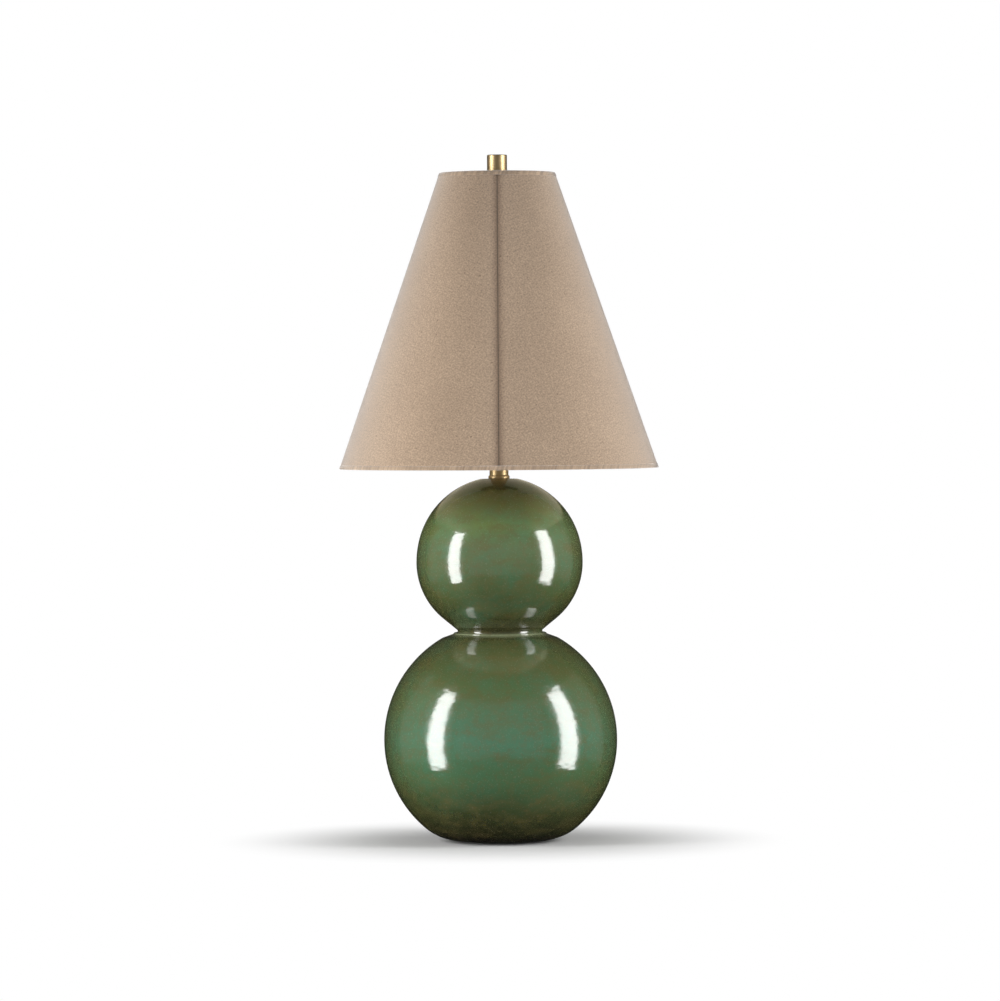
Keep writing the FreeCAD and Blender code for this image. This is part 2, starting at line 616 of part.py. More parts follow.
def harp_frame():
    """The harp: one bent wire with a flat block at its crest, drilled for the stud."""
    body = new_body("harp_frame")
    left = [
        ("-saddle_reach", "0"),
        ("-saddle_reach", "harp_leg"),
        ("-harp_half", "harp_leg + harp_flare_rise"),
        ("-harp_upper_half", "harp_leg + harp_flare_rise + harp_waist_rise"),
        ("-harp_top_half", "harp_crest"),
    ]
    right = [(x[1:], z) for x, z in reversed(left)]
    bends = ["harp_bend", "harp_side_bend", "harp_side_bend", "harp_top_bend"]
    path = new_sketch(body, "harp_path", "XZ_Plane")
    bent_path(path, left + right, bends + bends[::-1])
    section = new_sketch(body, "harp_wire_section", "XY_Plane")
    circle(section, "-saddle_reach", "0", "harp_wire_radius")
    wire = body.newObject("PartDesign::AdditivePipe", "harp_wire")
    wire.Profile = section
    wire.Spine = path
    block = new_sketch(body, "harp_block_outline", "XY_Plane", "harp_crest - plate_height / 2")
    rectangle(block, "plate_half_length", "plate_half_width")
    pad(body, block, "plate_height", "harp_block")
    hole = new_sketch(body, "harp_block_hole", "XY_Plane", "harp_crest + plate_height / 2")
    circle(hole, "0", "0", "stud_bore")
    drill = body.newObject("PartDesign::Pocket", "harp_block_bore")
    drill.Profile = hole
    drill.setExpression("Length", formula("plate_height"))
    place(body, z="harp_foot_z")
    return body


def harp_sleeve(label, x):
    """A sleeve that slides down over a cup and locks the harp in it."""
    body = turned(label, [
        ("cup_radius + running_gap", "0"),
        ("cup_radius + running_gap + sleeve_wall", "0"),
        ("cup_radius + running_gap + sleeve_wall", "cup_height + loose_gap + sleeve_lip"),
        ("cup_bore", "cup_height + loose_gap + sleeve_lip"),
        ("cup_bore", "cup_height + loose_gap"),
        ("cup_radius + running_gap", "cup_height + loose_gap"),
    ])
    place(body, x=x, z="harp_foot_z")
    return body


def harp_stud():
    """The stud that turns in the crest: a swaged head under it, a collar over it."""
    let("stud_shank", "rivet_thickness + plate_height")
    return turned("harp_stud", [
        ("0", "0"),
        ("rivet_radius", "0"),
        ("rivet_radius", "rivet_thickness"),
        ("stud_radius", "rivet_thickness"),
        ("stud_radius", "stud_shank"),
        ("stud_collar_radius", "stud_shank"),
        ("stud_collar_radius", "stud_shank + collar_thickness"),
        ("stud_radius", "stud_shank + collar_thickness"),
        ("stud_radius", "stud_shank + collar_thickness + stud_length"),
        ("0", "stud_shank + collar_thickness + stud_length"),
    ], "harp_top_z - plate_height / 2 - rivet_thickness")


# Socket: cap, shell and insulator round the phenolic block with its switch
let("shell_bore", "shell_radius - shell_wall")
let("insulator_radius", "shell_bore - running_gap")
let("insulator_bore", "insulator_radius - insulator_wall")
let("block_radius", "insulator_bore - running_gap")
let("block_foot_radius", "block_radius - running_gap - terminal_length")
let("switch_z", "shell_z + switch_height")
let("thread_bore", "bulb_cap_radius + running_gap")


def socket_cap():
    """The domed cap of the socket, screwed onto the pipe."""
    body = turned("socket_cap_shell", [
        ("pipe_radius + running_gap", "0"),
        ("cap_hub_radius", "0"),
        ("cap_hub_radius", "cap_hub_height"),
        ("cap_radius", "cap_hub_height + cap_dome", "cap_dome", 1),
        ("cap_radius", "cap_hub_height + cap_dome + cap_rim"),
        ("cap_radius - cap_wall", "cap_hub_height + cap_dome + cap_rim"),
        ("cap_radius - cap_wall", "cap_hub_height + cap_dome"),
        ("cap_hub_radius", "cap_hub_height + cap_wall", "cap_dome - cap_wall", -1),
        ("pipe_radius + running_gap", "cap_hub_height + cap_wall"),
    ], "cap_z")
    depth = "cap_hub_radius - pipe_radius + cut_margin"
    hole = rod("set_screw_hole", "set_screw_radius + running_gap", depth)
    lay_back(hole, "pipe_radius", "cap_z + cap_hub_height / 2")
    return cut("socket_cap", body, hole)


def lay_along_x(item, x, z):
    """Lay an object's own Z along +X."""
    item.Placement.Rotation = FreeCAD.Rotation(FreeCAD.Vector(0, 1, 0), 90)
    place(item, x=x, z=z)


def lay_forward(item, y, z):
    """Lay an object's own Z towards the front."""
    item.Placement.Rotation = FreeCAD.Rotation(FreeCAD.Vector(1, 0, 0), 90)
    place(item, y=y, z=z)


def lay_back(item, y, z):
    """Lay an object's own Z towards the back."""
    item.Placement.Rotation = FreeCAD.Rotation(FreeCAD.Vector(-1, 0, 0), 90)
    place(item, y=y, z=z)


def cap_set_screw():
    screw = rod("cap_set_screw", "set_screw_radius", "cap_hub_radius - pipe_radius")
    lay_back(screw, "pipe_radius + running_gap", "cap_z + cap_hub_height / 2")
    return screw


def switch_hole(name, radius, inner, outer):
    """A hole towards the front for the switch shaft."""
    hole = rod(name, radius, "%s - (%s)" % (outer, inner))
    lay_forward(hole, "-(%s)" % inner, "switch_z")
    return hole


def socket_shell():
    """The brass shell with its flared mouth."""
    body = turned("socket_shell_tube", [
        ("shell_bore", "0"),
        ("shell_radius", "0"),
        ("shell_radius", "shell_height - lip_height"),
        ("shell_radius + lip_flare", "shell_height"),
        ("shell_bore + lip_flare", "shell_height"),
        ("shell_bore", "shell_height - lip_height"),
    ], "shell_z")
    hole = switch_hole("shell_hole", "shaft_radius + loose_gap", "block_radius",
                       "shell_radius + cut_margin")
    return cut("socket_shell", body, hole)


def shell_insulator():
    """The paper tube between the shell and the live parts."""
    height = "shell_height - lip_height"
    body = tube("insulator_tube", "insulator_bore", "insulator_radius", height, "shell_z")
    hole = switch_hole("insulator_hole", "shaft_radius + loose_gap", "block_radius / 2", "shell_radius")
    return cut("shell_insulator", body, hole)


def socket_block():
    """The phenolic block: a narrow foot with the terminals, and a bore for the shaft."""
    body = turned("block_body", [
        ("0", "0"),
        ("block_foot_radius", "0"),
        ("block_foot_radius", "block_foot_height"),
        ("block_radius", "block_foot_height"),
        ("block_radius", "block_height"),
        ("0", "block_height"),
    ], "shell_z")
    hole = switch_hole("block_hole", "shaft_radius + running_gap", "0", "shell_radius")
    return cut("socket_block", body, hole)


def terminal_screws():
    """Two screws on the foot of the block, one for each lead."""
    body = doc.addObject("Part::Compound", "terminal_screws")
    screws = []
    for side, start in (("left", "-(block_foot_radius + terminal_length)"), ("right", "block_foot_radius")):
        screw = rod("terminal_" + side, "terminal_radius", "terminal_length")
        lay_along_x(screw, start, "shell_z + block_foot_height / 2")
        screws.append(screw)
    body.Links = screws
    return body


def thread_shell():
    """The brass screw shell that takes the bulb, standing on the block."""
    return turned("thread_shell", [
        ("thread_floor_radius", "0"),
        ("thread_bore + thread_shell_wall", "0"),
        ("thread_bore + thread_shell_wall", "thread_shell_height"),
        ("thread_bore", "thread_shell_height"),
        ("thread_bore", "thread_shell_wall"),
        ("thread_floor_radius", "thread_shell_wall"),
    ], "block_top_z")


def centre_contact():
    """The brass tongue under the bulb's button."""
    body = new_body("centre_contact")
    sketch = new_sketch(body, "contact_outline", "XY_Plane")
    rectangle(sketch, "bulb_button_radius", "contact_half_width")
    pad(body, sketch, "contact_thickness", "contact_strip")
    place(body, z="block_top_z")
    return body


def rectangle(sketch, half_length, half_width):
    """A rectangle centred on the sketch's origin."""
    outline(sketch, [(half_length, "-" + half_width), (half_length, half_width),
                     ("-" + half_length, half_width), ("-" + half_length, "-" + half_width)])


def switch_shaft():
    shaft = rod("switch_shaft", "shaft_radius", "shell_radius + knob_gap + knob_collar")
    lay_forward(shaft, "0", "switch_z")
    return shaft


def switch_knob():
    """The turn knob of the switch, with a flat wing to grip."""
    body = new_body("switch_knob")
    sketch = new_sketch(body, "knob_section", "XZ_Plane")
    outline(sketch, [
        ("shaft_radius", "0"),
        ("knob_radius - knob_round", "0"),
        ("knob_radius", "knob_round", "knob_round", 1),
        ("knob_radius", "knob_length - knob_round"),
        ("knob_radius - knob_round", "knob_length", "knob_round", 1),
        ("0", "knob_length"),
        ("0", "knob_collar"),
        ("shaft_radius", "knob_collar"),
    ])
    turn = body.newObject("PartDesign::Revolution", "knob_turned")
    turn.Profile = sketch
    turn.ReferenceAxis = (sketch, ["V_Axis"])
    turn.Angle = 360
    sides = new_sketch(body, "knob_sides", "XY_Plane", "knob_length")
    for near, far in (("wing_half_width", "knob_radius + cut_margin"),
                      ("-(knob_radius + cut_margin)", "-wing_half_width")):
        outline(sides, [(near, "-(knob_radius + cut_margin)"), (far, "-(knob_radius + cut_margin)"),
                        (far, "knob_radius + cut_margin"), (near, "knob_radius + cut_margin")])
    wing = body.newObject("PartDesign::Pocket", "knob_wing")
    wing.Profile = sides
    wing.setExpression("Length", formula("knob_length - knob_collar"))
    lay_forward(body, "-(shell_radius + knob_gap)", "switch_z")
    return body


def socket_pieces():
    return [
        socket_cap(),
        cap_set_screw(),
        socket_shell(),
        shell_insulator(),
        socket_block(),
        terminal_screws(),
        thread_shell(),
        centre_contact(),
        switch_shaft(),
        switch_knob(),
    ]


# Bulb: contact, cap, housing and globe
let("bulb_collar_z", "bulb_button + bulb_cap_height - bulb_overlap")
let("globe_z", "bulb_length - bulb_radius - globe_cut")
let("globe_rim", "sqrt(bulb_radius ^ 2 - globe_cut ^ 2)")
let("globe_rim_bore", "sqrt((bulb_radius - bulb_wall) ^ 2 - globe_cut ^ 2)")


def bulb_pieces():
    """A screw-in bulb: button and insulator, threaded cap, housing and frosted globe."""
    cap_bore = "bulb_cap_radius - bulb_cap_wall"
    button = turned("bulb_contact", [
        ("0", "0"),
        ("bulb_button_radius", "0"),
        ("bulb_button_radius", "bulb_button / 3"),
        ("bulb_cap_radius - bulb_cap_wall", "bulb_button"),
        ("0", "bulb_button"),
    ], "bulb_z")
    cap = tube("bulb_cap", cap_bore, "bulb_cap_radius", "bulb_cap_height", "bulb_z + bulb_button")
    housing = turned("bulb_housing", [
        ("bulb_cap_radius + running_gap", "0"),
        ("bulb_neck_radius", "0"),
        ("globe_rim", "globe_z - bulb_collar_z", "bulb_neck_flare", -1),
        ("globe_rim_bore", "globe_z - bulb_collar_z"),
        ("bulb_cap_radius + running_gap", "bulb_overlap", "bulb_neck_flare + bulb_wall", 1),
    ], "bulb_z + bulb_collar_z")
    globe = turned("bulb_globe", [
        ("globe_rim", "0"),
        ("0", "globe_cut + bulb_radius", "bulb_radius", 1),
        ("0", "globe_cut + bulb_radius - bulb_wall"),
        ("globe_rim_bore", "0", "bulb_radius - bulb_wall", -1),
    ], "bulb_z + globe_z")
    return [button, cap, housing, globe]


# Shade: a cone of two cloth panels on a stiff liner, with rolled rims and wire rings
let("shade_slope", "(shade_bottom_radius - shade_top_radius) / shade_height")
let("shade_tilt", "atan(shade_slope) / 1 deg")
let("shade_slant", "shade_height / cos(atan(shade_slope))")
let("glue_gap", "tape_thickness + running_gap / 2")
let("cloth_out", "trim_thickness")
let("cloth_in", "cloth_out + cloth_thickness")
let("liner_out", "cloth_in + glue_gap")
let("liner_in", "liner_out + liner_thickness")
let("ring_inset", "liner_in + running_gap + ring_wire_radius")
let("rim_inner", "ring_inset + ring_wire_radius + running_gap + trim_thickness")
let("rim_gap", "trim_thickness + running_gap")
let("ring_rise", "rim_gap + ring_wire_radius")


def cone(inset_by, height):
    """A corner on the shade's cone, this far inside its outer face, at this height."""
    return ("shade_bottom_radius - (%s) * shade_slope - (%s)" % (height, inset_by), height)


def cone_shell(label, outer, inner, bottom, top):
    """A cone wall between two insets from the shade's outer face."""
    corners = [cone(inner, bottom), cone(outer, bottom), cone(outer, top), cone(inner, top)]
    return turned(label, corners, "shade_z")


def seam_cutter(label, side):
    """The hollow of a seam, drawn square to the cone and run along its slope.
    side is -1 at the front and +1 at the back."""
    body = new_body(label)
    sketch = new_sketch(body, label + "_outline", "XY_Plane")
    depths = ("cut_margin", "-cloth_out", "-cloth_out - seam_depth", "-cloth_in - glue_gap / 2")
    halves = ("seam_half_width", "seam_half_width", "seam_gap / 2", "seam_gap / 2")
    flip = "-(%s)" if side < 0 else "(%s)"
    down = [("-" + half, flip % depth) for half, depth in zip(halves, depths)]
    up = [(half, flip % depth) for half, depth in zip(halves, depths)]
    outline(sketch, down + up[::-1] if side > 0 else down[::-1] + up)
    pad(body, sketch, "shade_slant + 2 * cut_margin", label + "_run")
    angle = FreeCAD.Rotation(FreeCAD.Vector(side, 0, 0), 1)
    body.Placement = FreeCAD.Placement(FreeCAD.Vector(), angle)
    body.setExpression("Placement.Rotation.Angle", formula("shade_tilt * 1 deg"))
    shift = "%d * (shade_bottom_radius + cut_margin * sin(shade_tilt * 1 deg))" % side
    place(body, y=shift, z="shade_z - cut_margin * cos(shade_tilt * 1 deg)")
    return body


def half_space(label, side):
    """A box that holds one side of the shade, left or right of the seams."""
    box = doc.addObject("Part::Box", label)
    box.setExpression("Length", formula("shade_bottom_radius + cut_margin"))
    box.setExpression("Width", formula("2 * (shade_bottom_radius + cut_margin)"))
    box.setExpression("Height", formula("shade_height + 2 * cut_margin"))
    corner = "-(shade_bottom_radius + cut_margin)"
    place(box, x=corner if side < 0 else "0", y=corner, z="shade_z - cut_margin")
    return box


def common(label, base, tool):
    """What the base and the tool share."""
    result = doc.addObject("Part::Common", label)
    result.Base = base
    result.Tool = tool
    result.Label = label
    return result


def cloth_panels():
    """The two halves of the cover, their edges drawn in along the front and back seams."""
    shell = cone_shell("cloth_shell", "cloth_out", "cloth_in", "rim_gap", "shade_height - rim_gap")
    parted = cut("cloth_front_parted", shell, seam_cutter("front_seam_cutter", -1))
    parted = cut("cloth_parted", parted, seam_cutter("back_seam_cutter", 1))
    return [common("shade_panel_left", parted, half_space("left_half", -1)),
            common("shade_panel_right", parted, half_space("right_half", 1))]


def seam_tapes():
    """A narrow tape on the liner behind each seam."""
    tapes = []
    for label, side in (("seam_tape_front", -1), ("seam_tape_back", 1)):
        shell = cone_shell(label + "_shell", "liner_out - tape_thickness", "liner_out",
                           "rim_gap", "shade_height - rim_gap")
        strip = doc.addObject("Part::Box", label + "_strip")
        strip.setExpression("Length", formula("2 * tape_half_width"))
        strip.setExpression("Width", formula("shade_bottom_radius + cut_margin"))
        strip.setExpression("Height", formula("shade_height + 2 * cut_margin"))
        start = "-(shade_bottom_radius + cut_margin)" if side < 0 else "0"
        place(strip, x="-tape_half_width", y=start, z="shade_z - cut_margin")
        tapes.append(common(label, shell, strip))
    return tapes


def bottom_trim():
    """The rolled rim at the bottom: up the outside, and round the wire ring inside."""
    inner_top = "2 * ring_rise"
    return turned("bottom_trim", [
        cone("0", "0"),
        cone("0", "trim_height"),
        cone("trim_thickness - running_gap / 2", "trim_height"),
        cone("trim_thickness - running_gap / 2", "trim_thickness"),
        cone("rim_inner - trim_thickness", "trim_thickness"),
        cone("rim_inner - trim_thickness", inner_top),
        cone("rim_inner", inner_top),
        cone("rim_inner", "0"),
    ], "shade_z")


def top_trim():
    """The rolled rim at the top: over the edge and onto the wire ring."""
    return turned("top_trim", [
        cone("0", "shade_height - trim_height"),
        cone("0", "shade_height"),
        cone("ring_inset + ring_wire_radius", "shade_height"),
        cone("ring_inset + ring_wire_radius", "shade_height - trim_thickness"),
        cone("trim_thickness - running_gap / 2", "shade_height - trim_thickness"),
        cone("trim_thickness - running_gap / 2", "shade_height - trim_height"),
    ], "shade_z")


def bottom_ring():
    """The plain wire ring inside the bottom rim."""
    ring = doc.addObject("Part::Torus", "bottom_ring")
    ring.setExpression("Radius1", formula(cone("ring_inset", "ring_rise")[0]))
    ring.setExpression("Radius2", formula("ring_wire_radius"))
    place(ring, z="shade_z + ring_rise")
    return ring


def spider_fitter():
    """The welded wire fitter at the top: hub washer, bent arms and ring."""
    body = new_body("spider_fitter")
    let("top_ring_z", "shade_height - ring_rise")
    top_ring_radius = cone("ring_inset", "top_ring_z")[0]
    let("top_ring_radius", top_ring_radius)
    let("hub_low", "shade_height - shade_recess - hub_thickness")
    let("hub_mid", "hub_low + hub_thickness / 2")
    hub = new_sketch(body, "hub_outline", "XY_Plane", "hub_low")
    circle(hub, "0", "0", "hub_radius")
    circle(hub, "0", "0", "stud_bore")
    pad(body, hub, "hub_thickness", "hub_washer")
    path = new_sketch(body, "arm_path", "YZ_Plane")
    bent_path(path, [("(hub_radius + stud_bore) / 2", "hub_mid"),
                     ("top_ring_radius - arm_foot", "hub_mid"),
                     ("top_ring_radius", "top_ring_z")], ["arm_bend"])
    section = new_sketch(body, "arm_section", "XZ_Plane", "-(hub_radius + stud_bore) / 2")
    circle(section, "0", "hub_mid", "ring_wire_radius")
    arm = body.newObject("PartDesign::AdditivePipe", "arm")
    arm.Profile = section
    arm.Spine = path
    arms = body.newObject("PartDesign::PolarPattern", "arms")
    arms.Originals = [arm]
    arms.Axis = (plane(body, "Z_Axis"), [""])
    arms.Angle = 360
    arms.Occurrences = ARM_COUNT
    body.Tip = arms
    wire = new_sketch(body, "top_ring_section", "XZ_Plane")
    circle(wire, "top_ring_radius", "top_ring_z", "ring_wire_radius")
    ring = body.newObject("PartDesign::Revolution", "top_ring")
    ring.Profile = wire
    ring.ReferenceAxis = (wire, ["V_Axis"])
    ring.Angle = 360
    body.Tip = ring
    place(body, z="shade_z")
    return body


def shade_pieces():
    liner = cone_shell("shade_liner", "liner_out", "liner_in", "rim_gap", "shade_height - rim_gap")
    return cloth_panels() + seam_tapes() + [
        liner, top_trim(), bottom_trim(), bottom_ring(), spider_fitter()]


def finial():
    """The plain brass finial, bored from below for the stud."""
    let("finial_bore_depth", "stud_length - hub_thickness + loose_gap")
    return turned("finial", [
        ("stud_bore", "0"),
        ("finial_radius - finial_chamfer", "0"),
        ("finial_radius", "finial_chamfer"),
        ("finial_radius", "finial_height - finial_chamfer"),
        ("finial_radius - finial_chamfer", "finial_height"),
        ("0", "finial_height"),
        ("0", "finial_bore_depth"),
        ("stud_bore", "finial_bore_depth"),
    ], "finial_z")


def harp_pieces():
    return [
        harp_saddle(),
        harp_frame(),
        harp_sleeve("harp_sleeve_left", "-saddle_reach"),
        harp_sleeve("harp_sleeve_right", "saddle_reach"),
        harp_stud(),
    ]


# Build every sub-part, check it and write it out
pieces = base_pieces() + harp_pieces() + socket_pieces() + bulb_pieces() + shade_pieces() + [finial()]
doc.recompute()
for item in doc.Objects:
    if "Invalid" in item.State or "Error" in item.State:
        raise RuntimeError("%s failed: %s" % (item.Label, item.State))
for piece in pieces:
    if piece.Shape.isNull() or not piece.Shape.isValid():
        raise RuntimeError("%s has no sound shape" % piece.Label)
for piece in pieces:
    piece.Shape.exportStep("parts/%s.step" % piece.Label)
    box = piece.Shape.BoundBox
    print("%-20s %2d solid(s) %12.1f mm3  z %7.2f to %7.2f  width %7.2f" % (
        piece.Label, len(piece.Shape.Solids), piece.Shape.Volume, box.ZMin, box.ZMax, box.XLength))
print(len(pieces), "sub-parts")
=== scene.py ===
# %% [markdown]
# # A double gourd table lamp
# The lamp has a glazed ceramic base of two globes, a short brass neck and a tall cone
# shade of linen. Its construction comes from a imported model, which gives every hard
# piece at its real size. This file adds the cloth, the finishes, the light and the view.
#
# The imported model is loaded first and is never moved. All lengths are in metres, the
# table is at z = 0, and the front of the lamp looks towards -Y.

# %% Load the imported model
import math

import bpy
from mathutils import Matrix, Vector


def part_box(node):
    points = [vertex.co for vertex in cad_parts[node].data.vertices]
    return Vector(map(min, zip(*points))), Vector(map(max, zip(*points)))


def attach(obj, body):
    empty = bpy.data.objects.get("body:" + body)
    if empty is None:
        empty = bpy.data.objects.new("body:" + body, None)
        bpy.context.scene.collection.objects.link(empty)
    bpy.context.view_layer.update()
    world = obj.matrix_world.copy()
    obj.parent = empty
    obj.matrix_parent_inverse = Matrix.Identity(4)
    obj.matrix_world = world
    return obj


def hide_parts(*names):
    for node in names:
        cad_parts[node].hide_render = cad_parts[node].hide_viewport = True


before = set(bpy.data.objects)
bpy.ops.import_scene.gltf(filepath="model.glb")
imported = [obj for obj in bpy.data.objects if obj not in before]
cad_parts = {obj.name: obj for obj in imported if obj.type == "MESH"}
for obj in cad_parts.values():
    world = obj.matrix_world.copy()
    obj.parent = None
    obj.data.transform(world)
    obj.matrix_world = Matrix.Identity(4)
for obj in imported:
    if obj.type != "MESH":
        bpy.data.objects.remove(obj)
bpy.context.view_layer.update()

# %% [markdown]
# ## Working in code as by hand
# Blender's operators act on whatever is selected, so each step starts from a clean
# selection. Four helpers keep that short. The first empties the selection and adds a new
# primitive in edit mode. The second ends edit mode, names the piece and puts its finish
# on. The others apply a modifier at once and shade a piece smooth.

# %% Helpers for starting and ending a piece
def start(add, **settings):
    """Add one primitive with nothing else selected, and open it in edit mode."""
    if bpy.context.object and bpy.context.object.mode != "OBJECT":
        bpy.ops.object.mode_set(mode="OBJECT")
    bpy.ops.object.select_all(action="DESELECT")
    add(**settings)
    bpy.ops.object.mode_set(mode="EDIT")
    bpy.ops.mesh.select_all(action="SELECT")
    return bpy.context.object


def close(piece, name, finish=None):
    """Leave edit mode, put the place into the mesh, and name the piece."""
    bpy.ops.object.mode_set(mode="OBJECT")
    bpy.ops.object.select_all(action="DESELECT")
    piece.select_set(True)
    bpy.context.view_layer.objects.active = piece
    bpy.ops.object.transform_apply(location=True, rotation=True, scale=True)
    piece.name = name
    piece.data.name = name
    if finish:
        piece.data.materials.clear()
        piece.data.materials.append(finish)
    print("%-20s %6d faces" % (name, len(piece.data.polygons)))
    return piece


def apply_modifier(piece, kind, **settings):
    """Add one modifier to the piece and apply it at once."""
    bpy.context.view_layer.objects.active = piece
    modifier = piece.modifiers.new(kind.title(), kind)
    for key, value in settings.items():
        setattr(modifier, key, value)
    bpy.ops.object.modifier_apply(modifier=modifier.name)


def smooth(piece):
    """Shade every face of the piece smooth."""
    faces = piece.data.polygons
    faces.foreach_set("use_smooth", [True] * len(faces))


# %% [markdown]
# ## Building finishes
# A finish is a small graph of shader nodes. Writing such graphs gets long, so one
# helper adds a node and wires its inputs: a plain number is set on the socket, and
# another node's output is linked to it. Every pattern reads the piece's own
# coordinates, so it stays on the piece when it moves or turns.

# %% Helpers for the shader graphs
class Finish:
    """A material with one Principled shader, and short ways to add nodes to it."""

    def __init__(self, name, **constants):
        self.material = bpy.data.materials.new(name)
        self.material.use_nodes = True
        self.tree = self.material.node_tree
        self.shader = self.tree.nodes["Principled BSDF"]
        for key, value in constants.items():
            self.shader.inputs[key.replace("_", " ")].default_value = value
        self.object_place = self.add("ShaderNodeTexCoord").outputs["Object"]

    def add(self, kind, inputs=(), **settings):
        """Add a node; its inputs are outputs to link or constants to set."""
        node = self.tree.nodes.new(kind)
        for key, value in settings.items():
            setattr(node, key, value)
        for key, value in dict(inputs).items():
            if isinstance(value, bpy.types.NodeSocket):
                self.tree.links.new(value, node.inputs[key])
            else:
                node.inputs[key].default_value = value
        return node

    def link(self, output, key):
        """Wire an output to the shader itself."""
        self.tree.links.new(output, self.shader.inputs[key])

    def math(self, operation, first, second=0.5, third=0.5):
        node = self.add("ShaderNodeMath", {0: first, 1: second, 2: third}, operation=operation)
        return node.outputs[0]

    def stretch(self, place, scale=(1, 1, 1), shift=(0, 0, 0)):
        """Scale a place along each axis and shift it."""
        node = self.add("ShaderNodeMapping", {"Vector": place, "Scale": scale, "Location": shift})
        return node.outputs[0]

    def noise(self, place, scale, detail=3.0, roughness=0.5):
        """Cloudy noise from 0 to 1, with about as many clouds in a metre as its scale."""
        node = self.add("ShaderNodeTexNoise", {"Vector": place, "Scale": scale,
                                               "Detail": detail, "Roughness": roughness})
        return node.outputs["Fac"]

    def ramp(self, factor, stops, interpolation="LINEAR"):
        """Stops are (position, colour), with a colour of three numbers or one grey."""
        node = self.add("ShaderNodeValToRGB", {"Fac": factor})
        strip = node.color_ramp
        strip.interpolation = interpolation
        for k, (position, colour) in enumerate(stops):
            stop = strip.elements[k] if k < 2 else strip.elements.new(position)
            stop.position = position
            stop.color = (*colour, 1) if hasattr(colour, "__len__") else (colour,) * 3 + (1,)
        return node.outputs["Color"]

    def mix(self, factor, first, second, blend="MIX"):
        """Mix two colours, each an output or three numbers."""
        node = self.add("ShaderNodeMix", data_type="RGBA", blend_type=blend)
        sockets = [i for i in node.inputs if i.enabled]
        for socket, value in zip(sockets, (factor, first, second)):
            if isinstance(value, bpy.types.NodeSocket):
                self.tree.links.new(value, socket)
            else:
                socket.default_value = (*value, 1) if isinstance(value, tuple) else value
        return [o for o in node.outputs if o.enabled][0]

    def bump(self, height, distance, strength=1.0, over=None):
        """Raise the surface by a height from 0 to 1, over another bump where there is one."""
        inputs = {"Height": height, "Distance": distance, "Strength": strength}
        if over is not None:
            inputs["Normal"] = over
        return self.add("ShaderNodeBump", inputs).outputs["Normal"]


# %% Colours and a short report
def linear(red, green, blue):
    """A colour as an eye reads it on a screen, 0 to 255, as the light that it stands for."""
    return tuple(((c / 255 + 0.055) / 1.055) ** 2.4 if c > 10 else c / 3294.6
                 for c in (red, green, blue))


def report(*finishes):
    """Print how many shader nodes each finish has."""
    for finish in finishes:
        print("%-20s %3d shader nodes" % (finish.material.name, len(finish.tree.nodes)))


# %% [markdown]
# ## Glaze: colour by height
# The globes wear a thick reactive glaze: teal where it pooled, olive and brown where it
# ran thin. The foot is painted near black, as painted shade where the pot curves under
# towards the table. The crown under the neck is painted brown, as a painted reflection of
# the lampshade's inside and painted shade under the neck. A picture could be wrapped round
# the pot, but a pattern worked out from the place on the pot needs no picture and has no
# seam. The height sets the main colour in six zones of two tones each, and soft noise
# pushes their borders to and fro.

# %% Main colours of the glaze
RAMP_HEIGHT = 0.36
BORDER_DRIFT = 0.03
# each tone with its share of that height, from the foot upwards
GLAZE_AND_SHADE_TONES = [
    (0.00, linear(10, 9, 4)), (0.09, linear(62, 70, 40)),  # foot painted near black as painted shade, thin glaze over it
    (0.18, linear(79, 108, 74)), (0.28, linear(80, 122, 96)),  # thick teal on the belly
    (0.42, linear(90, 108, 70)), (0.51, linear(84, 93, 57)),  # olive shoulder
    (0.57, linear(58, 60, 35)), (0.66, linear(78, 92, 56)),  # dark waist
    (0.78, linear(98, 118, 84)), (0.85, linear(108, 129, 78)),  # green upper globe
    (0.90, linear(99, 102, 56)), (0.95, linear(50, 44, 24))]  # crown painted olive-brown to brown: painted reflection of the lampshade, painted shade under the neck

glaze = Finish("reactive_glaze", Roughness=0.16, Coat_Weight=1.0, Coat_Roughness=0.05,
               Coat_IOR=1.58)
place = glaze.object_place
height = glaze.add("ShaderNodeSeparateXYZ", {0: place}).outputs["Z"]
drift = glaze.noise(glaze.stretch(place, (1, 1, 1.6)), 14, detail=4, roughness=0.55)
level = glaze.math("MULTIPLY_ADD", glaze.math("SUBTRACT", drift, 0.5), BORDER_DRIFT, height)
by_height = glaze.ramp(glaze.math("DIVIDE", level, RAMP_HEIGHT), GLAZE_AND_SHADE_TONES)
print(len(GLAZE_AND_SHADE_TONES), "tones of glaze over", RAMP_HEIGHT, "m")

# %% [markdown]
# ## Glaze: pools, thin places and flecks
# A glaze is never even. It pools in teal clouds above the foot and runs thin to olive in
# level bands. Its two sides, which turn away from the front, are painted a darker olive
# as painted shade. A pale band painted along the thin bead of the waist is partly a
# painted highlight, the line of light the bead catches, and partly the glaze breaking
# paler on its edge. Fine noise adds a brown mottle and reddish flecks. All this could be
# one big pattern, but laid one over the other, each colour with its own mask, it is
# easier to judge and to change.

# %% Pools and thin places
TEAL, OLIVE, LIMB_SHADE_OLIVE = linear(68, 122, 98), linear(106, 94, 56), linear(80, 84, 46)
POOL_MOST, THIN_MOST, LIMB_SHADE_MOST = 0.32, 0.38, 0.55

pool = glaze.ramp(glaze.noise(glaze.stretch(place, (1, 1, 1.4), (3, 1, 2)), 26, detail=3, roughness=0.5),
                  [(0.42, 0.0), (0.62, 1.0)])
above_foot = glaze.ramp(height, [(0.025, 0.0), (0.065, POOL_MOST)])
pooled = glaze.mix(glaze.math("MULTIPLY", pool, above_foot), by_height, TEAL)
thin = glaze.ramp(glaze.noise(glaze.stretch(place, (1, 1, 2.6), (7, 4, 0)), 34, detail=5, roughness=0.62),
                  [(0.48, 0.0), (0.66, 1.0)])
thinned = glaze.mix(glaze.math("MULTIPLY", thin, THIN_MOST), pooled, OLIVE)
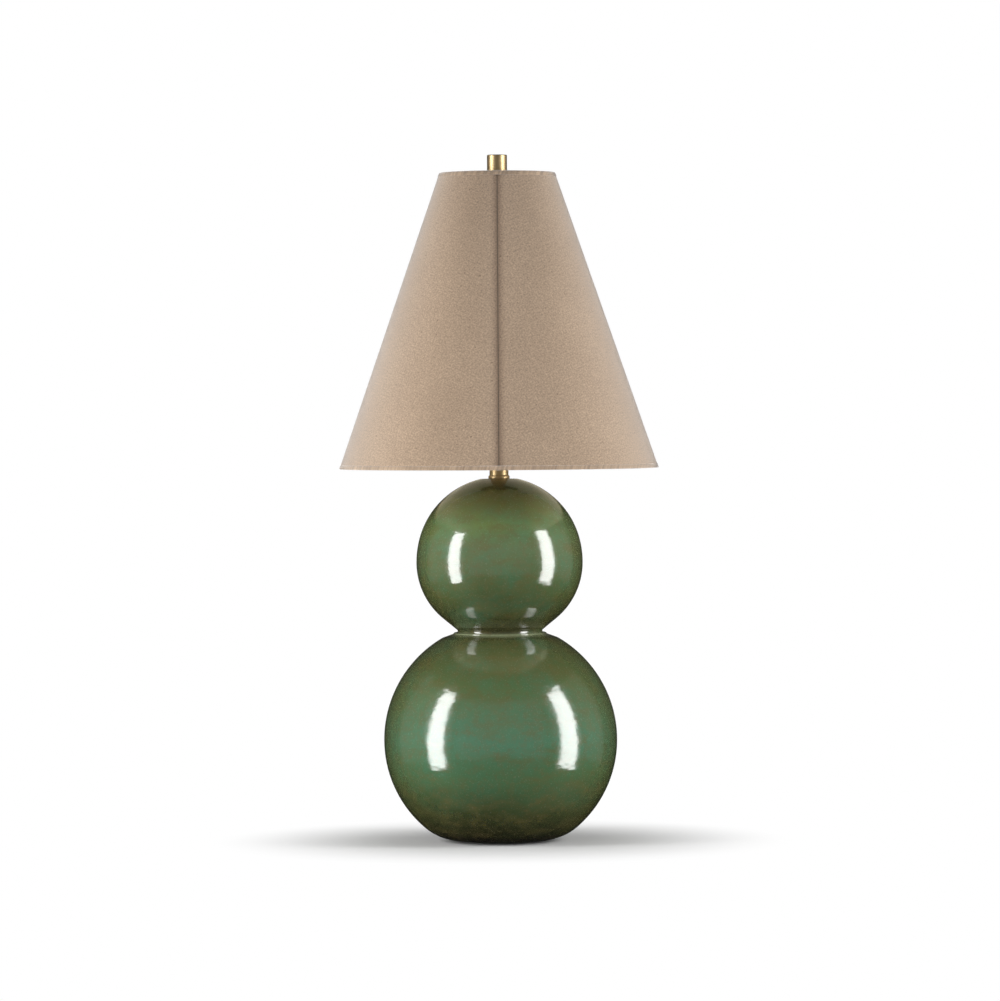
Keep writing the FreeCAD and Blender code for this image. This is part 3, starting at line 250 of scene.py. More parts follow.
# facing is 1 at the front and the back of the pot and 0 at its two sides
flat_place = glaze.add("ShaderNodeVectorMath", {0: place, 1: (1, 1, 0)}, operation="MULTIPLY")
around = glaze.add("ShaderNodeVectorMath", {0: flat_place.outputs[0]}, operation="NORMALIZE")
across = glaze.add("ShaderNodeSeparateXYZ", {0: around.outputs[0]}).outputs["Y"]
facing = glaze.math("ABSOLUTE", across)
# the two sides are painted a darker olive: painted shade on the flanks that turn away from the front
side = glaze.ramp(facing, [(0.25, LIMB_SHADE_MOST), (0.80, 0.0)], "EASE")
limb_shaded = glaze.mix(side, thinned, LIMB_SHADE_OLIVE)
report(glaze)

# %% Bead, mottle and flecks
PALE_BEAD_HIGHLIGHT, BROWN, RUST = linear(146, 153, 122), linear(110, 98, 64), linear(108, 78, 48)
BEAD_HIGHLIGHT_MOST, MOTTLE_MOST, FLECK_MOST = 0.85, 0.26, 0.24
BEAD_UNDER_JOINT = 0.00085
TINT = (0.90, 0.93, 0.86)

bead_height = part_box("ceramic_upper_globe")[0].z - BEAD_UNDER_JOINT
from_bead = glaze.math("ABSOLUTE", glaze.math("SUBTRACT", height, bead_height))
# a pale band along the bead: partly a painted highlight, partly glaze breaking paler on the edge
# a ramp runs from 0 to 1, so it takes this distance in centimetres
pale = glaze.ramp(glaze.math("MULTIPLY", from_bead, 100), [(0.07, BEAD_HIGHLIGHT_MOST), (0.22, 0.0)])
bead_highlighted = glaze.mix(pale, limb_shaded, PALE_BEAD_HIGHLIGHT)
mottle = glaze.ramp(glaze.noise(place, 150, detail=4, roughness=0.65), [(0.47, 0.0), (0.62, 1.0)])
mottled = glaze.mix(glaze.math("MULTIPLY", mottle, MOTTLE_MOST), bead_highlighted, BROWN)
fleck = glaze.ramp(glaze.noise(place, 320, detail=2, roughness=0.6), [(0.56, 0.0), (0.72, 1.0)])
flecked = glaze.mix(glaze.math("MULTIPLY", fleck, FLECK_MOST), mottled, RUST)
glaze.link(glaze.mix(1.0, flecked, TINT, "MULTIPLY"), "Base Color")
print("the pale bead is %.1f mm over the table" % (bead_height * 1e3))

# %% [markdown]
# ## Glaze: surface
# The glaze lies in soft waves with tiny pits in it, under a clear coat that gives the
# highlights a crisp edge. The waves are too shallow and the pits too fine to be worth
# modelling, so both are bumps. The pits are faint on the glaze itself and stronger on the
# coat, where they make the highlights sparkle, and their pattern also varies the gloss.

# %% Waves, pits and sheen
WAVE_DEPTH, PIT_DEPTH, COAT_PIT_DEPTH = 0.0006, 0.00005, 0.00006

pits = glaze.noise(place, 700, detail=2, roughness=0.7)
waves = glaze.noise(glaze.stretch(place, (1, 1, 3.0)), 40, detail=2, roughness=0.5)
rolling = glaze.bump(waves, WAVE_DEPTH, strength=0.6)
glaze.link(glaze.bump(pits, PIT_DEPTH, strength=0.15, over=rolling), "Normal")
coat_rolling = glaze.bump(waves, WAVE_DEPTH, strength=0.45)
glaze.link(glaze.bump(pits, COAT_PIT_DEPTH, strength=0.6, over=coat_rolling), "Coat Normal")
glaze.link(glaze.ramp(pits, [(0.36, 0.10), (0.64, 0.28)]), "Roughness")
report(glaze)

# %% [markdown]
# ## Brass and steel
# The finial, the neck and its ring are satin brass: turned on a lathe, so very fine
# lines run round them, then lacquered. The harp and the shade's wires are plated, and
# the hardware under the foot is plain zinc. All metals share one recipe: a metal
# colour, fine lines that the tool left, and soft patches of wear in the roughness. The
# lines could be modelled, but they are far finer than a picture shows, so they are a
# faint bump of noise, stretched round the turned pieces.

# %% Metal finishes
TOOL_MARK = 0.00003
WORN = 0.88


def metal(name, colour, roughness, line_scale, line_stretch, patch=0.10):
    """A metal with tool lines along one direction and patches in its sheen."""
    finish = Finish(name, Metallic=1.0)
    lines = finish.noise(finish.stretch(finish.object_place, line_stretch), line_scale,
                         detail=2, roughness=0.5)
    patches = finish.noise(finish.object_place, 70, detail=3, roughness=0.6)
    worn = tuple(c * WORN for c in colour)
    finish.link(finish.ramp(patches, [(0.3, worn), (0.7, colour)]), "Base Color")
    sheen = finish.math("MULTIPLY_ADD", finish.math("SUBTRACT", patches, 0.5), patch * 2, roughness)
    finish.link(sheen, "Roughness")
    finish.link(finish.bump(lines, TOOL_MARK, strength=0.20), "Normal")
    return finish


# name, colour, roughness, fineness of the tool lines, their stretch, patchiness
brass = metal("satin_brass", linear(207, 181, 137), 0.42, 220, (0.3, 0.3, 9), 0.04)
socket_brass = metal("socket_brass", linear(222, 192, 132), 0.30, 260, (0.3, 0.3, 8))
plated_wire = metal("plated_wire", linear(206, 184, 136), 0.34, 420, (1, 1, 1))
zinc = metal("zinc_plate", linear(186, 190, 194), 0.38, 180, (1, 1, 1), 0.16)
nickel = metal("nickel_thread", linear(204, 202, 196), 0.26, 200, (1, 1, 6))
report(brass, socket_brass, plated_wire, zinc, nickel)

# %% [markdown]
# ## The bulb's thread
# The screw cap of the bulb is rolled sheet with a round thread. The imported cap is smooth
# and keeps its shape here, so rings of a wave pattern raise the thread in the finish.
# They are level and don't climb as a real thread does, which is too little to see.

# %% Thread on the nickel
THREADS_SCALE, THREAD_DEPTH = 44.0, 0.0008

turns = nickel.add("ShaderNodeTexWave", {"Vector": nickel.object_place, "Scale": THREADS_SCALE},
                   bands_direction="Z").outputs["Fac"]
nickel.link(nickel.bump(turns, THREAD_DEPTH, strength=0.8), "Normal")
report(nickel)

# %% [markdown]
# ## Plastics, rubber, paper and the bulb
# These pieces sit inside the shade or under the foot. Each still has its own grain: a
# moulded skin is faintly uneven, rubber is dusty, fibre paper is mottled, and the
# frosted globe of the bulb is clouded from inside. Eight graphs written out would say
# the same thing eight times, so one function builds them and only its numbers differ.

# %% Moulded and soft finishes
SHEEN_SPREAD = 0.06


def moulded(name, colour, roughness, grain_scale, grain_height, spread=0.12, **constants):
    """A moulded or pressed stuff: an uneven colour and a fine skin."""
    finish = Finish(name, **constants)
    cloud = finish.noise(finish.object_place, grain_scale / 6, detail=3, roughness=0.6)
    grain = finish.noise(finish.object_place, grain_scale, detail=3, roughness=0.6)
    dark = tuple(c * (1 - spread) for c in colour)
    finish.link(finish.ramp(cloud, [(0.3, dark), (0.7, colour)]), "Base Color")
    sheen = [(0.3, roughness - SHEEN_SPREAD), (0.7, roughness + SHEEN_SPREAD)]
    finish.link(finish.ramp(grain, sheen), "Roughness")
    finish.link(finish.bump(grain, grain_height, strength=0.5), "Normal")
    return finish


# name, colour, roughness, fineness of the grain, its height, spread of the colour
rubber = moulded("black_rubber", linear(38, 38, 37), 0.62, 900, 0.00006)
phenolic = moulded("black_phenolic", linear(34, 30, 28), 0.30, 700, 0.00004)
knob_plastic = moulded("black_knob", linear(30, 30, 31), 0.34, 1100, 0.00005)
white_plastic = moulded("white_housing", linear(232, 231, 226), 0.42, 800, 0.00004, 0.04)
paper = moulded("fibre_paper", linear(150, 128, 96), 0.80, 500, 0.00010, 0.25)
liner_skin = moulded("styrene_liner", linear(240, 230, 206), 0.55, 600, 0.00006, 0.05)
felt_cloth = moulded("wool_felt", linear(52, 54, 50), 0.95, 1600, 0.00035, 0.35, Sheen_Weight=0.5)
frosted = moulded("frosted_globe", linear(244, 243, 238), 0.36, 500, 0.00003, 0.03,
                  Subsurface_Weight=0.3, Subsurface_Scale=0.004)
report(rubber, phenolic, knob_plastic, white_plastic, paper, liner_skin, felt_cloth, frosted)

# %% [markdown]
# ## Linen
# The shade is covered with a taupe linen on a thin fleece, so it looks matt and full.
# Close up it has crossing threads of uneven thickness, and a few dark flecks of husk.
# The threads could follow the cone's own height and angle, but then they would crowd
# together at the top. On real cloth they run straight before it is rolled to a cone, so
# this finish reads a UV map that holds the flat pattern in metres. A second value, kept
# with the points of the cloth, says how near a seam they are: there the cloth is painted
# darker, as painted shade in the seam's hollow. The cloth is also painted a little darker
# towards the top of the shade, as painted shade where less light falls.

# %% Linen finish
WEAVE_DEPTH, PILE_DEPTH = 0.00022, 0.00035
SLUB = 0.05
SEAM_PAINTED_SHADE = 0.72


def woven(name, colour, dark, thread=0.0008):
    """A plain weave in the flat cloth's own metres, with slubs and flecks, painted shade near the seams
    and painted darker towards the top.
    """
    finish = Finish(name, Roughness=0.9, Sheen_Weight=1.0, Sheen_Roughness=0.50)
    flat = finish.add("ShaderNodeUVMap", uv_map="flat_cloth").outputs["UV"]
    # two sets of threads, long one way and one thread wide the other way
    across = finish.noise(finish.stretch(flat, (1 / thread, SLUB / thread, 1)), 1.0,
                          detail=2, roughness=0.6)
    along = finish.noise(finish.stretch(flat, (SLUB / thread, 1 / thread, 1), (5, 9, 0)), 1.0,
                         detail=2, roughness=0.6)
    threads = finish.math("MULTIPLY", finish.math("ADD", across, along), 0.5)
    mottle = finish.noise(flat, 420, detail=4, roughness=0.7)
    pile = finish.noise(finish.stretch(flat, (1, 1, 1), (2, 7, 0)), 620, detail=2, roughness=0.6)
    broad = finish.noise(flat, 14, detail=3, roughness=0.5)
    pale = tuple(min(1.0, c * 1.14) for c in colour)
    deep = tuple(c * 0.84 for c in colour)
    cloth = finish.ramp(threads, [(0.38, deep), (0.62, pale)])
    cloth = finish.mix(finish.math("MULTIPLY", mottle, 0.45), cloth, colour)
    cloth = finish.mix(1.0, cloth, finish.ramp(pile, [(0.34, 0.58), (0.66, 1.0)]), "MULTIPLY")
    cloth = finish.mix(finish.ramp(broad, [(0.35, 0.0), (0.70, 0.10)]), cloth, dark)
    husk = finish.ramp(finish.noise(flat, 330, detail=1, roughness=0.4), [(0.720, 0.0), (0.755, 0.50)])
    cloth = finish.mix(husk, cloth, dark)
    height = finish.add("ShaderNodeSeparateXYZ", {0: finish.object_place}).outputs["Z"]
    # painted shade: the cloth is painted darker towards the top of the shade, where less light falls
    tone = finish.ramp(height, [(0.35, 1.0), (0.50, 0.95), (0.65, 0.83)])
    cloth = finish.mix(1.0, cloth, tone, "MULTIPLY")
    near = finish.add("ShaderNodeAttribute", attribute_name="near_seam").outputs["Fac"]
    # painted shade: near a seam the cloth is darkened towards its dark colour
    cloth = finish.mix(finish.math("MULTIPLY", near, SEAM_PAINTED_SHADE), cloth, dark)
    finish.link(cloth, "Base Color")
    weave = finish.bump(threads, WEAVE_DEPTH, strength=0.5)
    finish.link(finish.bump(mottle, PILE_DEPTH, strength=0.35, over=weave), "Normal")
    return finish


# name, colour, its dark, width of a thread
linen = woven("taupe_linen", linear(189, 162, 134), linear(88, 60, 34))
# the seam tape's dark brown is partly painted shade in the gap between the panels
seam_cloth_painted_shade = woven("seam_cloth_painted_shade", linear(104, 84, 64), linear(60, 46, 34), 0.0005)
report(linen, seam_cloth_painted_shade)

# %% [markdown]
# ## The shade's cone
# Each panel covers half of the cone, from the front seam to the back seam. Rolled from
# flat cloth it has no stretch, so its shape is fully known: a radius at the lower rim,
# one at the upper rim, and the height between them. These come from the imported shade.
# Near a seam the padded cloth draws in over about a finger's width on each side, and the
# two edges meet in a soft hollow.

# %% Sizes of the cone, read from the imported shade
rim_low, rim_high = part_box("bottom_trim"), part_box("top_trim")
cone_foot, cone_top = rim_low[0].z, rim_high[1].z
lean = (rim_low[1].x - rim_high[1].x) / (rim_high[0].z - rim_low[0].z)
sine = lean / math.sqrt(1 + lean * lean)
cloth_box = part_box("shade_panel_left")
CLOTH = 0.00195
# depth and reach of the hollow at a seam, and of the wider draw around it
HOLLOW, HOLLOW_WIDTH = 0.0010, 0.0060
DRAW, DRAW_WIDTH = 0.0006, 0.0200


def cone_radius(z):
    """The outside of the cloth at a height."""
    return -cloth_box[0].x - lean * (z - cloth_box[0].z)


def seam_dip(distance):
    """How far the cloth draws in at a distance from a seam."""
    return sum(depth * 0.5 * (1 + math.cos(math.pi * min(distance / width, 1.0)))
               for depth, width in ((HOLLOW, HOLLOW_WIDTH), (DRAW, DRAW_WIDTH)))


print("cone: radius %.1f mm at the foot, %.1f mm at the top, %.1f mm high" % (
    cone_radius(cone_foot) * 1e3, cone_radius(cone_top) * 1e3, (cone_top - cone_foot) * 1e3))

# %% [markdown]
# ## Places on a panel
# A panel starts as a plain grid, one cell for each small patch of cloth, and each
# corner of a cell is then rolled to its place on the cone. Columns stand close together
# near the seams, where the cloth bends, and wide apart elsewhere. The other way would
# be to cut a cone in half, but a cut cone has no flat pattern to weave on. On the flat
# cloth the same corner lies in a fan, which is the cone unrolled.

# %% Where a corner of the grid goes
COLUMNS, ROWS = 92, 56
# distances of the first columns from the seam's middle line, in metres
NEAR = [0.0005, 0.0009, 0.0014, 0.0020, 0.0027, 0.0034, 0.0042, 0.0050, 0.0060, 0.0075]


def panel_place(column, row, side):
    """Where a grid corner goes: on the cone, on the flat cloth, and how far from a seam."""
    z = cloth_box[0].z + (cloth_box[1].z - cloth_box[0].z) * row / ROWS
    radius = cone_radius(z)
    first, last = len(NEAR) - 1, COLUMNS - len(NEAR) + 1
    if column <= first:
        angle = NEAR[column] / radius
    elif column >= last:
        angle = math.pi - NEAR[COLUMNS - column] / radius
    else:
        edge = NEAR[-1] / radius
        angle = edge + (math.pi - 2 * edge) * (column - first) / (last - first)
    distance = min(angle, math.pi - angle) * radius
    drawn = radius - seam_dip(distance)
    place = Vector((side * drawn * math.sin(angle), -drawn * math.cos(angle), z))
    turn = (angle - math.pi / 2) * sine
    flat = (side * radius / sine * math.sin(turn), -radius / sine * math.cos(turn))
    return place, flat, distance


print("a panel has", (COLUMNS + 1) * (ROWS + 1), "corners")

# %% [markdown]
# ## The two panels
# One pass over the grid rolls every corner, writes its place on the flat cloth to the UV
# map, and notes how near a seam it is. Solidify then gives the cloth its padding,
# thinner where the seam presses it. An open sheet has no inside, so the script looks at
# one face to see which way the sheet is turned.

# %% Keep how near a seam the cloth is
def note_seam(piece, values):
    """Keep with each point of a cloth how near a seam it is, from 0 to 1."""
    note = piece.data.attributes.new("near_seam", "FLOAT", "POINT")
    note.data.foreach_set("value", values)


# %% Roll the left and the right panel
# the cloth's thickness where a seam presses it, and how far from the seam that reaches
PRESSED_CLOTH, PRESSED_REACH = 0.00162, 0.0029
# the least share of the padding that stays at a seam
THINNEST = 0.05
# how far the painted shade at a seam reaches, and how fast it falls off
SHADE_REACH, SHADE_FALL = 0.0078, 1.6


def roll_panel(name, side):
    """Roll half of the shade; side is -1 on the left and 1 on the right."""
    panel = start(bpy.ops.mesh.primitive_grid_add, x_subdivisions=COLUMNS, y_subdivisions=ROWS,
                  size=1.0)
    bpy.ops.object.mode_set(mode="OBJECT")
    mesh = panel.data
    padding = panel.vertex_groups.new(name="padding")
    flats, near = [], []
    for vertex in mesh.vertices:
        column = round((vertex.co.x + 0.5) * COLUMNS)
        row = round((vertex.co.y + 0.5) * ROWS)
        vertex.co, flat, distance = panel_place(column, row, side)
        cloth = PRESSED_CLOTH if distance < PRESSED_REACH else CLOTH
        padding.add([vertex.index], max((cloth - seam_dip(distance)) / CLOTH, THINNEST), "REPLACE")
        flats.append(flat)
        near.append(max(0.0, 1 - distance / SHADE_REACH) ** SHADE_FALL)
    note_seam(panel, near)
    mesh.uv_layers[0].name = "flat_cloth"
    for loop in mesh.loops:
        mesh.uv_layers[0].data[loop.index].uv = flats[loop.vertex_index]
    bpy.ops.object.mode_set(mode="EDIT")
    bpy.ops.mesh.select_all(action="SELECT")
    bpy.ops.mesh.normals_make_consistent(inside=False)
    bpy.ops.object.mode_set(mode="OBJECT")
    middle = mesh.polygons[len(mesh.polygons) // 2]
    if middle.normal.dot(Vector((middle.center.x, middle.center.y, 0))) < 0:
        mesh.flip_normals()
    apply_modifier(panel, "SOLIDIFY", thickness=CLOTH, offset=-1.0, vertex_group="padding")
    smooth(panel)
    return close(panel, name, linen.material)


panel_left = roll_panel("linen_panel_left", -1)
panel_right = roll_panel("linen_panel_right", 1)

# %% [markdown]
# ## Seam tapes
# Behind each seam a narrow tape closes the gap between the two panel edges. Its dark
# brown is partly painted shade, standing for the shade deep in the seam's gap. It could
# have folds and stitches, but it only shows as a fine line, so a thin strip that follows
# the cone is enough.

# %% Front and back tape
# its width, length and thickness, and how far its face stands out from the liner
TAPE_WIDTH, TAPE_LENGTH = 0.0050, 0.296
TAPE_THICK, TAPE_LIFT = 0.00025, 0.00028


def lay_tape(name, front):
    """Lay a tape along a seam; front is 1 for the front seam and -1 for the back one."""
    tape = start(bpy.ops.mesh.primitive_grid_add, x_subdivisions=4, y_subdivisions=40, size=1.0)
    bpy.ops.object.mode_set(mode="OBJECT")
    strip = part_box("seam_tape_front")
    for vertex in tape.data.vertices:
        z = strip[0].z + (strip[1].z - strip[0].z) * (vertex.co.y + 0.5)
        radius = cone_radius(z) - CLOTH + TAPE_LIFT
        angle = vertex.co.x * TAPE_WIDTH / radius
        vertex.co = (front * radius * math.sin(angle), -front * radius * math.cos(angle), z)
    tape.data.uv_layers[0].name = "flat_cloth"
    for loop in tape.data.uv_layers[0].data:
        loop.uv = (loop.uv[0] * TAPE_WIDTH, loop.uv[1] * TAPE_LENGTH)
    apply_modifier(tape, "SOLIDIFY", thickness=TAPE_THICK, offset=-1.0)
    return close(tape, name, seam_cloth_painted_shade.material)


tape_front = lay_tape("seam_tape_front_cloth", 1)
tape_back = lay_tape("seam_tape_back_cloth", -1)

# %% [markdown]
# ## Spinning a ring from its section
# The rims of the shade and the felt under the foot are rings with a fine section. A
# torus or a tube has only a round or a square section, so the section is drawn instead,
# by extruding one point from place to place, and the line is then spun round the lamp.

# %% Helper for spun rings
MERGE = 0.00001


def spin_section(points, steps, name):
    """Extrude a point along (radius, height) places and spin the line round the axis."""
    piece = start(bpy.ops.mesh.primitive_circle_add, vertices=3, radius=0.001,
                  location=(points[0][0], 0, points[0][1]))
    bpy.ops.mesh.merge(type="CENTER")
    for (r0, z0), (r1, z1) in zip(points, points[1:]):
        step = (r1 - r0, 0, z1 - z0)
        bpy.ops.mesh.extrude_region_move(TRANSFORM_OT_translate={"value": step})
    bpy.ops.mesh.select_all(action="SELECT")
    bpy.ops.mesh.spin(steps=steps, angle=2 * math.pi, center=(0, 0, 0), axis=(0, 0, 1))
    bpy.ops.mesh.select_all(action="SELECT")
    bpy.ops.mesh.remove_doubles(threshold=MERGE)
    bpy.ops.mesh.normals_make_consistent(inside=False)
    bpy.ops.object.mode_set(mode="OBJECT")
    piece.name = name
    return piece


# %% [markdown]
# ## Rolled rims
# At each rim a strip of the same linen is turned over the wire ring: a flange of a few
# millimetres outside, a soft roll at the edge, and a flange inside. Solidify gives it
# the thickness of the cloth. The strip gets a flat map of its own, so that the weave
# runs along it.

# %% Flat map of a spun strip
def strip_map(piece, points):
    """Give a spun strip the flat map of its cloth: round the rim, and across the strip."""
    across = [0.0]
    for (r0, z0), (r1, z1) in zip(points, points[1:]):
        across.append(across[-1] + math.hypot(r1 - r0, z1 - z0))
    mesh = piece.data
    layer = mesh.uv_layers.new(name="flat_cloth")
    for face in mesh.polygons:
        angles = []
        for index in face.vertices:
            co = mesh.vertices[index].co
            angles.append(math.atan2(co.y, co.x))
        wrap = max(angles) - min(angles) > math.pi
        for loop, index, angle in zip(face.loop_indices, face.vertices, angles):
            co = mesh.vertices[index].co
            place = (math.hypot(co.x, co.y), co.z)
            nearest = min(range(len(points)), key=lambda k: math.dist(points[k], place))
            turn = angle + 2 * math.pi if wrap and angle < 0 else angle
            layer.data[loop].uv = (turn * points[0][0], across[nearest])


# %% Roll the lower and the upper rim
# (way into the shade, lift over the cloth), from the outer flange round to the inner one
RIM_SECTION = [(0.0042, -0.0001), (0.0038, 0.0003), (0.0022, 0.00035), (0.0010, 0.0003),
               (0.0004, 0.0001), (0.0001, -0.0004), (0.00005, -0.0012), (0.0001, -0.0021),
               (0.0005, -0.0029), (0.0014, -0.0031), (0.0040, -0.0031), (0.0052, -0.0029)]
RIM_CLOTH, RIM_STEPS = 0.00028, 288
RIM_SHADE_REACH = 0.0045


def roll_rim(name, edge, inward):
    """A rim at the height edge; inward is +1 where the cloth lies above the edge."""
    points = []
    for way_in, lift in RIM_SECTION:
        z = edge + inward * way_in
        points.append((cone_radius(z) + lift, z))
    rim = spin_section(points, RIM_STEPS, name)
    # near the seams the rim is painted darker too, as painted shade
    note_seam(rim, [max(0.0, 1 - abs(vertex.co.x) / RIM_SHADE_REACH) for vertex in rim.data.vertices])
    strip_map(rim, points)
    apply_modifier(rim, "SOLIDIFY", thickness=RIM_CLOTH, offset=-1.0)
    smooth(rim)
    return close(rim, name, linen.material)


rim_foot = roll_rim("bottom_rim_cloth", cone_foot, 1)
rim_top = roll_rim("top_rim_cloth", cone_top, -1)

# %% [markdown]
# ## Felt under the foot
# A ring of wool felt keeps the glaze off the table. It is punched from sheet, so its
# edges are square with a little fuzz. A plain ring would look like plastic, so the
# section has small bevels and the finish a coarse bump.

# %% Spin the felt ring
felt_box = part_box("felt_pad")
felt_out, felt_thick = felt_box[1].x, felt_box[1].z
FELT_HOLE = 0.0305
FELT_BEVEL, FELT_TOP_BEVEL = 0.0003, 0.0002
FELT_CLEAR, FELT_STEPS = 0.00002, 120
felt_points = [(FELT_HOLE, FELT_BEVEL), (FELT_HOLE + FELT_BEVEL, FELT_CLEAR),
               (felt_out - FELT_BEVEL, FELT_CLEAR), (felt_out, FELT_BEVEL),
               (felt_out, felt_thick - FELT_TOP_BEVEL), (felt_out - FELT_TOP_BEVEL, felt_thick),
               (FELT_HOLE + FELT_TOP_BEVEL, felt_thick), (FELT_HOLE, felt_thick - FELT_TOP_BEVEL),
               (FELT_HOLE, FELT_BEVEL)]
felt_ring = spin_section(felt_points, FELT_STEPS, "felt_ring")
smooth(felt_ring)
close(felt_ring, "felt_ring", felt_cloth.material)

# %% [markdown]
# ## What each new piece stands for
# Every piece rides on a body of the imported model, so it follows when the shade turns or
# lifts. Each takes the place of one imported node and hides it. This could be said as
# each piece is made, but in one list it is easier to check that none is missed.

# %% Bodies, replaced nodes and slots
CLOTH_PIECES = ((panel_left, "shade_panel_left", "linen"),
                (panel_right, "shade_panel_right", "linen"),
                (tape_front, "seam_tape_front", "seam_tape"),
                (tape_back, "seam_tape_back", "seam_tape"),
                (rim_foot, "bottom_trim", "linen_trim"),
                (rim_top, "top_trim", "linen_trim"))
for piece, node, slot in CLOTH_PIECES:
    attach(piece, "shade")
    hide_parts(node)
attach(felt_ring, "base")
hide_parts("felt_pad")
print(len(CLOTH_PIECES), "pieces of cloth ride on the shade, and the felt on the base")

# %% [markdown]
# ## What the cloth was cut to
# One panel is half of a cone laid flat, a fan 456 mm wide and 318 mm deep. That could be
# measured on the mesh, but the cone gives it exactly: its two radii are the slanted
# distances from the cone's tip to the rims, and its angle is half a turn times the sine
# of the cone's lean.

# %% [markdown]
# ## Finishes on the imported pieces
# The hard pieces keep their imported shape and only change their finish. A imported node
# brings its own plain material, and the new one goes into the same slot, so the mesh is
# left as it is. A line for each piece would do, but one list shows at a glance which
# pieces share a finish.

# %% Give each imported node its finish
FINISHES = {
    glaze: ["ceramic_lower_globe", "ceramic_upper_globe"],
    brass: ["check_ring", "neck_tube", "finial", "centre_contact", "terminal_screws", "switch_shaft"],
    socket_brass: ["socket_cap", "socket_shell", "thread_shell"],
    plated_wire: ["harp_saddle", "harp_frame", "harp_sleeve_left", "harp_sleeve_right", "harp_stud",
                  "bottom_ring", "spider_fitter"],
    zinc: ["bottom_plate", "bottom_lock_washer", "bottom_nut", "lamp_pipe", "saddle_washer",
           "cap_set_screw"],
    nickel: ["bulb_cap"],
    rubber: ["cord_bushing", "bottom_gasket"],
    phenolic: ["socket_block", "bulb_contact"],
    knob_plastic: ["switch_knob"],
    white_plastic: ["bulb_housing"],
    paper: ["shell_insulator"],
    liner_skin: ["shade_liner"],
    frosted: ["bulb_globe"],
}
for finish, names in FINISHES.items():
    for name in names:
        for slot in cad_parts[name].material_slots:
            slot.material = finish.material
print(sum(len(names) for names in FINISHES.values()), "packed nodes have a new finish")

# %% [markdown]
# ## Floor
# A plain pale table top carries the lamp and takes its shadow. Further out it turns to
# an even white, so that it meets the white background with no line between them. That
# white is only for what looks at it: the camera, and rays in mirrors and glass. The
# glaze should stay deep at the foot, so the floor itself isn't mirrored.

# %% Table top
FLOOR_RADIUS, FLOOR_BORDER = 6.0, 5.0
# distances from the lamp between which the table turns to white
WHITE_FROM, WHITE_TO = 0.08, 0.28

floor = start(bpy.ops.mesh.primitive_circle_add, vertices=96, radius=FLOOR_RADIUS,
              fill_type="NGON")
bpy.ops.mesh.inset(thickness=FLOOR_BORDER)
close(floor, "floor")
table = Finish("pale_table", Roughness=0.9)
radial = table.add("ShaderNodeVectorMath", {0: table.object_place}, operation="LENGTH").outputs["Value"]
tone = table.ramp(table.noise(table.object_place, 30, detail=2, roughness=0.5), [(0.3, 0.86), (0.7, 0.88)])
table.link(tone, "Base Color")
seen = table.add("ShaderNodeLightPath").outputs
looked_at = table.math("MAXIMUM", seen["Is Camera Ray"], table.math(
    "MAXIMUM", seen["Is Glossy Ray"], seen["Is Transmission Ray"]))
fade = table.ramp(radial, [(WHITE_FROM, 0.0), (WHITE_TO, 1.0)], "EASE")
white = table.add("ShaderNodeEmission", {"Color": (1, 1, 1, 1), "Strength": 1.0})
blend = table.add("ShaderNodeMixShader", {0: table.math("MULTIPLY", fade, looked_at),
                                          1: table.shader.outputs[0], 2: white.outputs[0]})
table.tree.links.new(blend.outputs[0], table.tree.nodes["Material Output"].inputs["Surface"])
floor.data.materials.append(table.material)
floor.visible_glossy = False
report(table)

# %% [markdown]
# ## Background
# The background is white for the camera and in mirrors and glass, but gives only a
# little light, so that the soft boxes shape the lamp. One number could not do both, so
# the kind of ray chooses the strength.

# %% World
SKY_LIGHT, SKY_SEEN = 0.14, 1.0

world = bpy.data.worlds.new("studio")
bpy.context.scene.world = world
world.use_nodes = True
sky = world.node_tree
backdrop = sky.nodes["Background"]
backdrop.inputs["Color"].default_value = (1, 1, 1, 1)
rays = sky.nodes.new("ShaderNodeLightPath").outputs
looked_at = rays["Is Camera Ray"]
for other in ("Is Glossy Ray", "Is Transmission Ray"):
    either = sky.nodes.new("ShaderNodeMath")
    either.operation = "MAXIMUM"
    sky.links.new(looked_at, either.inputs[0])
    sky.links.new(rays[other], either.inputs[1])
    looked_at = either.outputs[0]
strength = sky.nodes.new("ShaderNodeMapRange")
strength.inputs["To Min"].default_value = SKY_LIGHT
strength.inputs["To Max"].default_value = SKY_SEEN
sky.links.new(looked_at, strength.inputs["Value"])
sky.links.new(strength.outputs[0], backdrop.inputs["Strength"])
print("the background lights with", SKY_LIGHT, "and is seen as", SKY_SEEN)

# %% [markdown]
# ## Soft light from two sides
# Two tall soft boxes stand to the left and right of the lamp and a little in front of
# it. They draw one long bright stripe down each side of both globes and leave the
# middle calm. Three weak lamps fill the low front and the two flanks, and draw no
# stripe. A strong light from above would be simpler, but would put a round glare on
# each globe.

# %% Lamps
# name, azimuth in degrees, distance, width, height, height of the middle, radiance
SOFT_BOXES = (("soft_box_left", -65.2, 1.6, 0.50, 2.04, 0.48, 9.8),
              ("soft_box_right", 69.8, 1.6, 0.57, 2.06, 0.50, 9.4))
FILLS = (("fill_low", -38, 1.0, 0.9, 0.30, 0.16, 2.0),
         ("fill_left", -106, 1.8, 0.9, 1.2, 0.50, 2.6),
         ("fill_right", 106, 1.8, 0.9, 1.2, 0.50, 2.0))


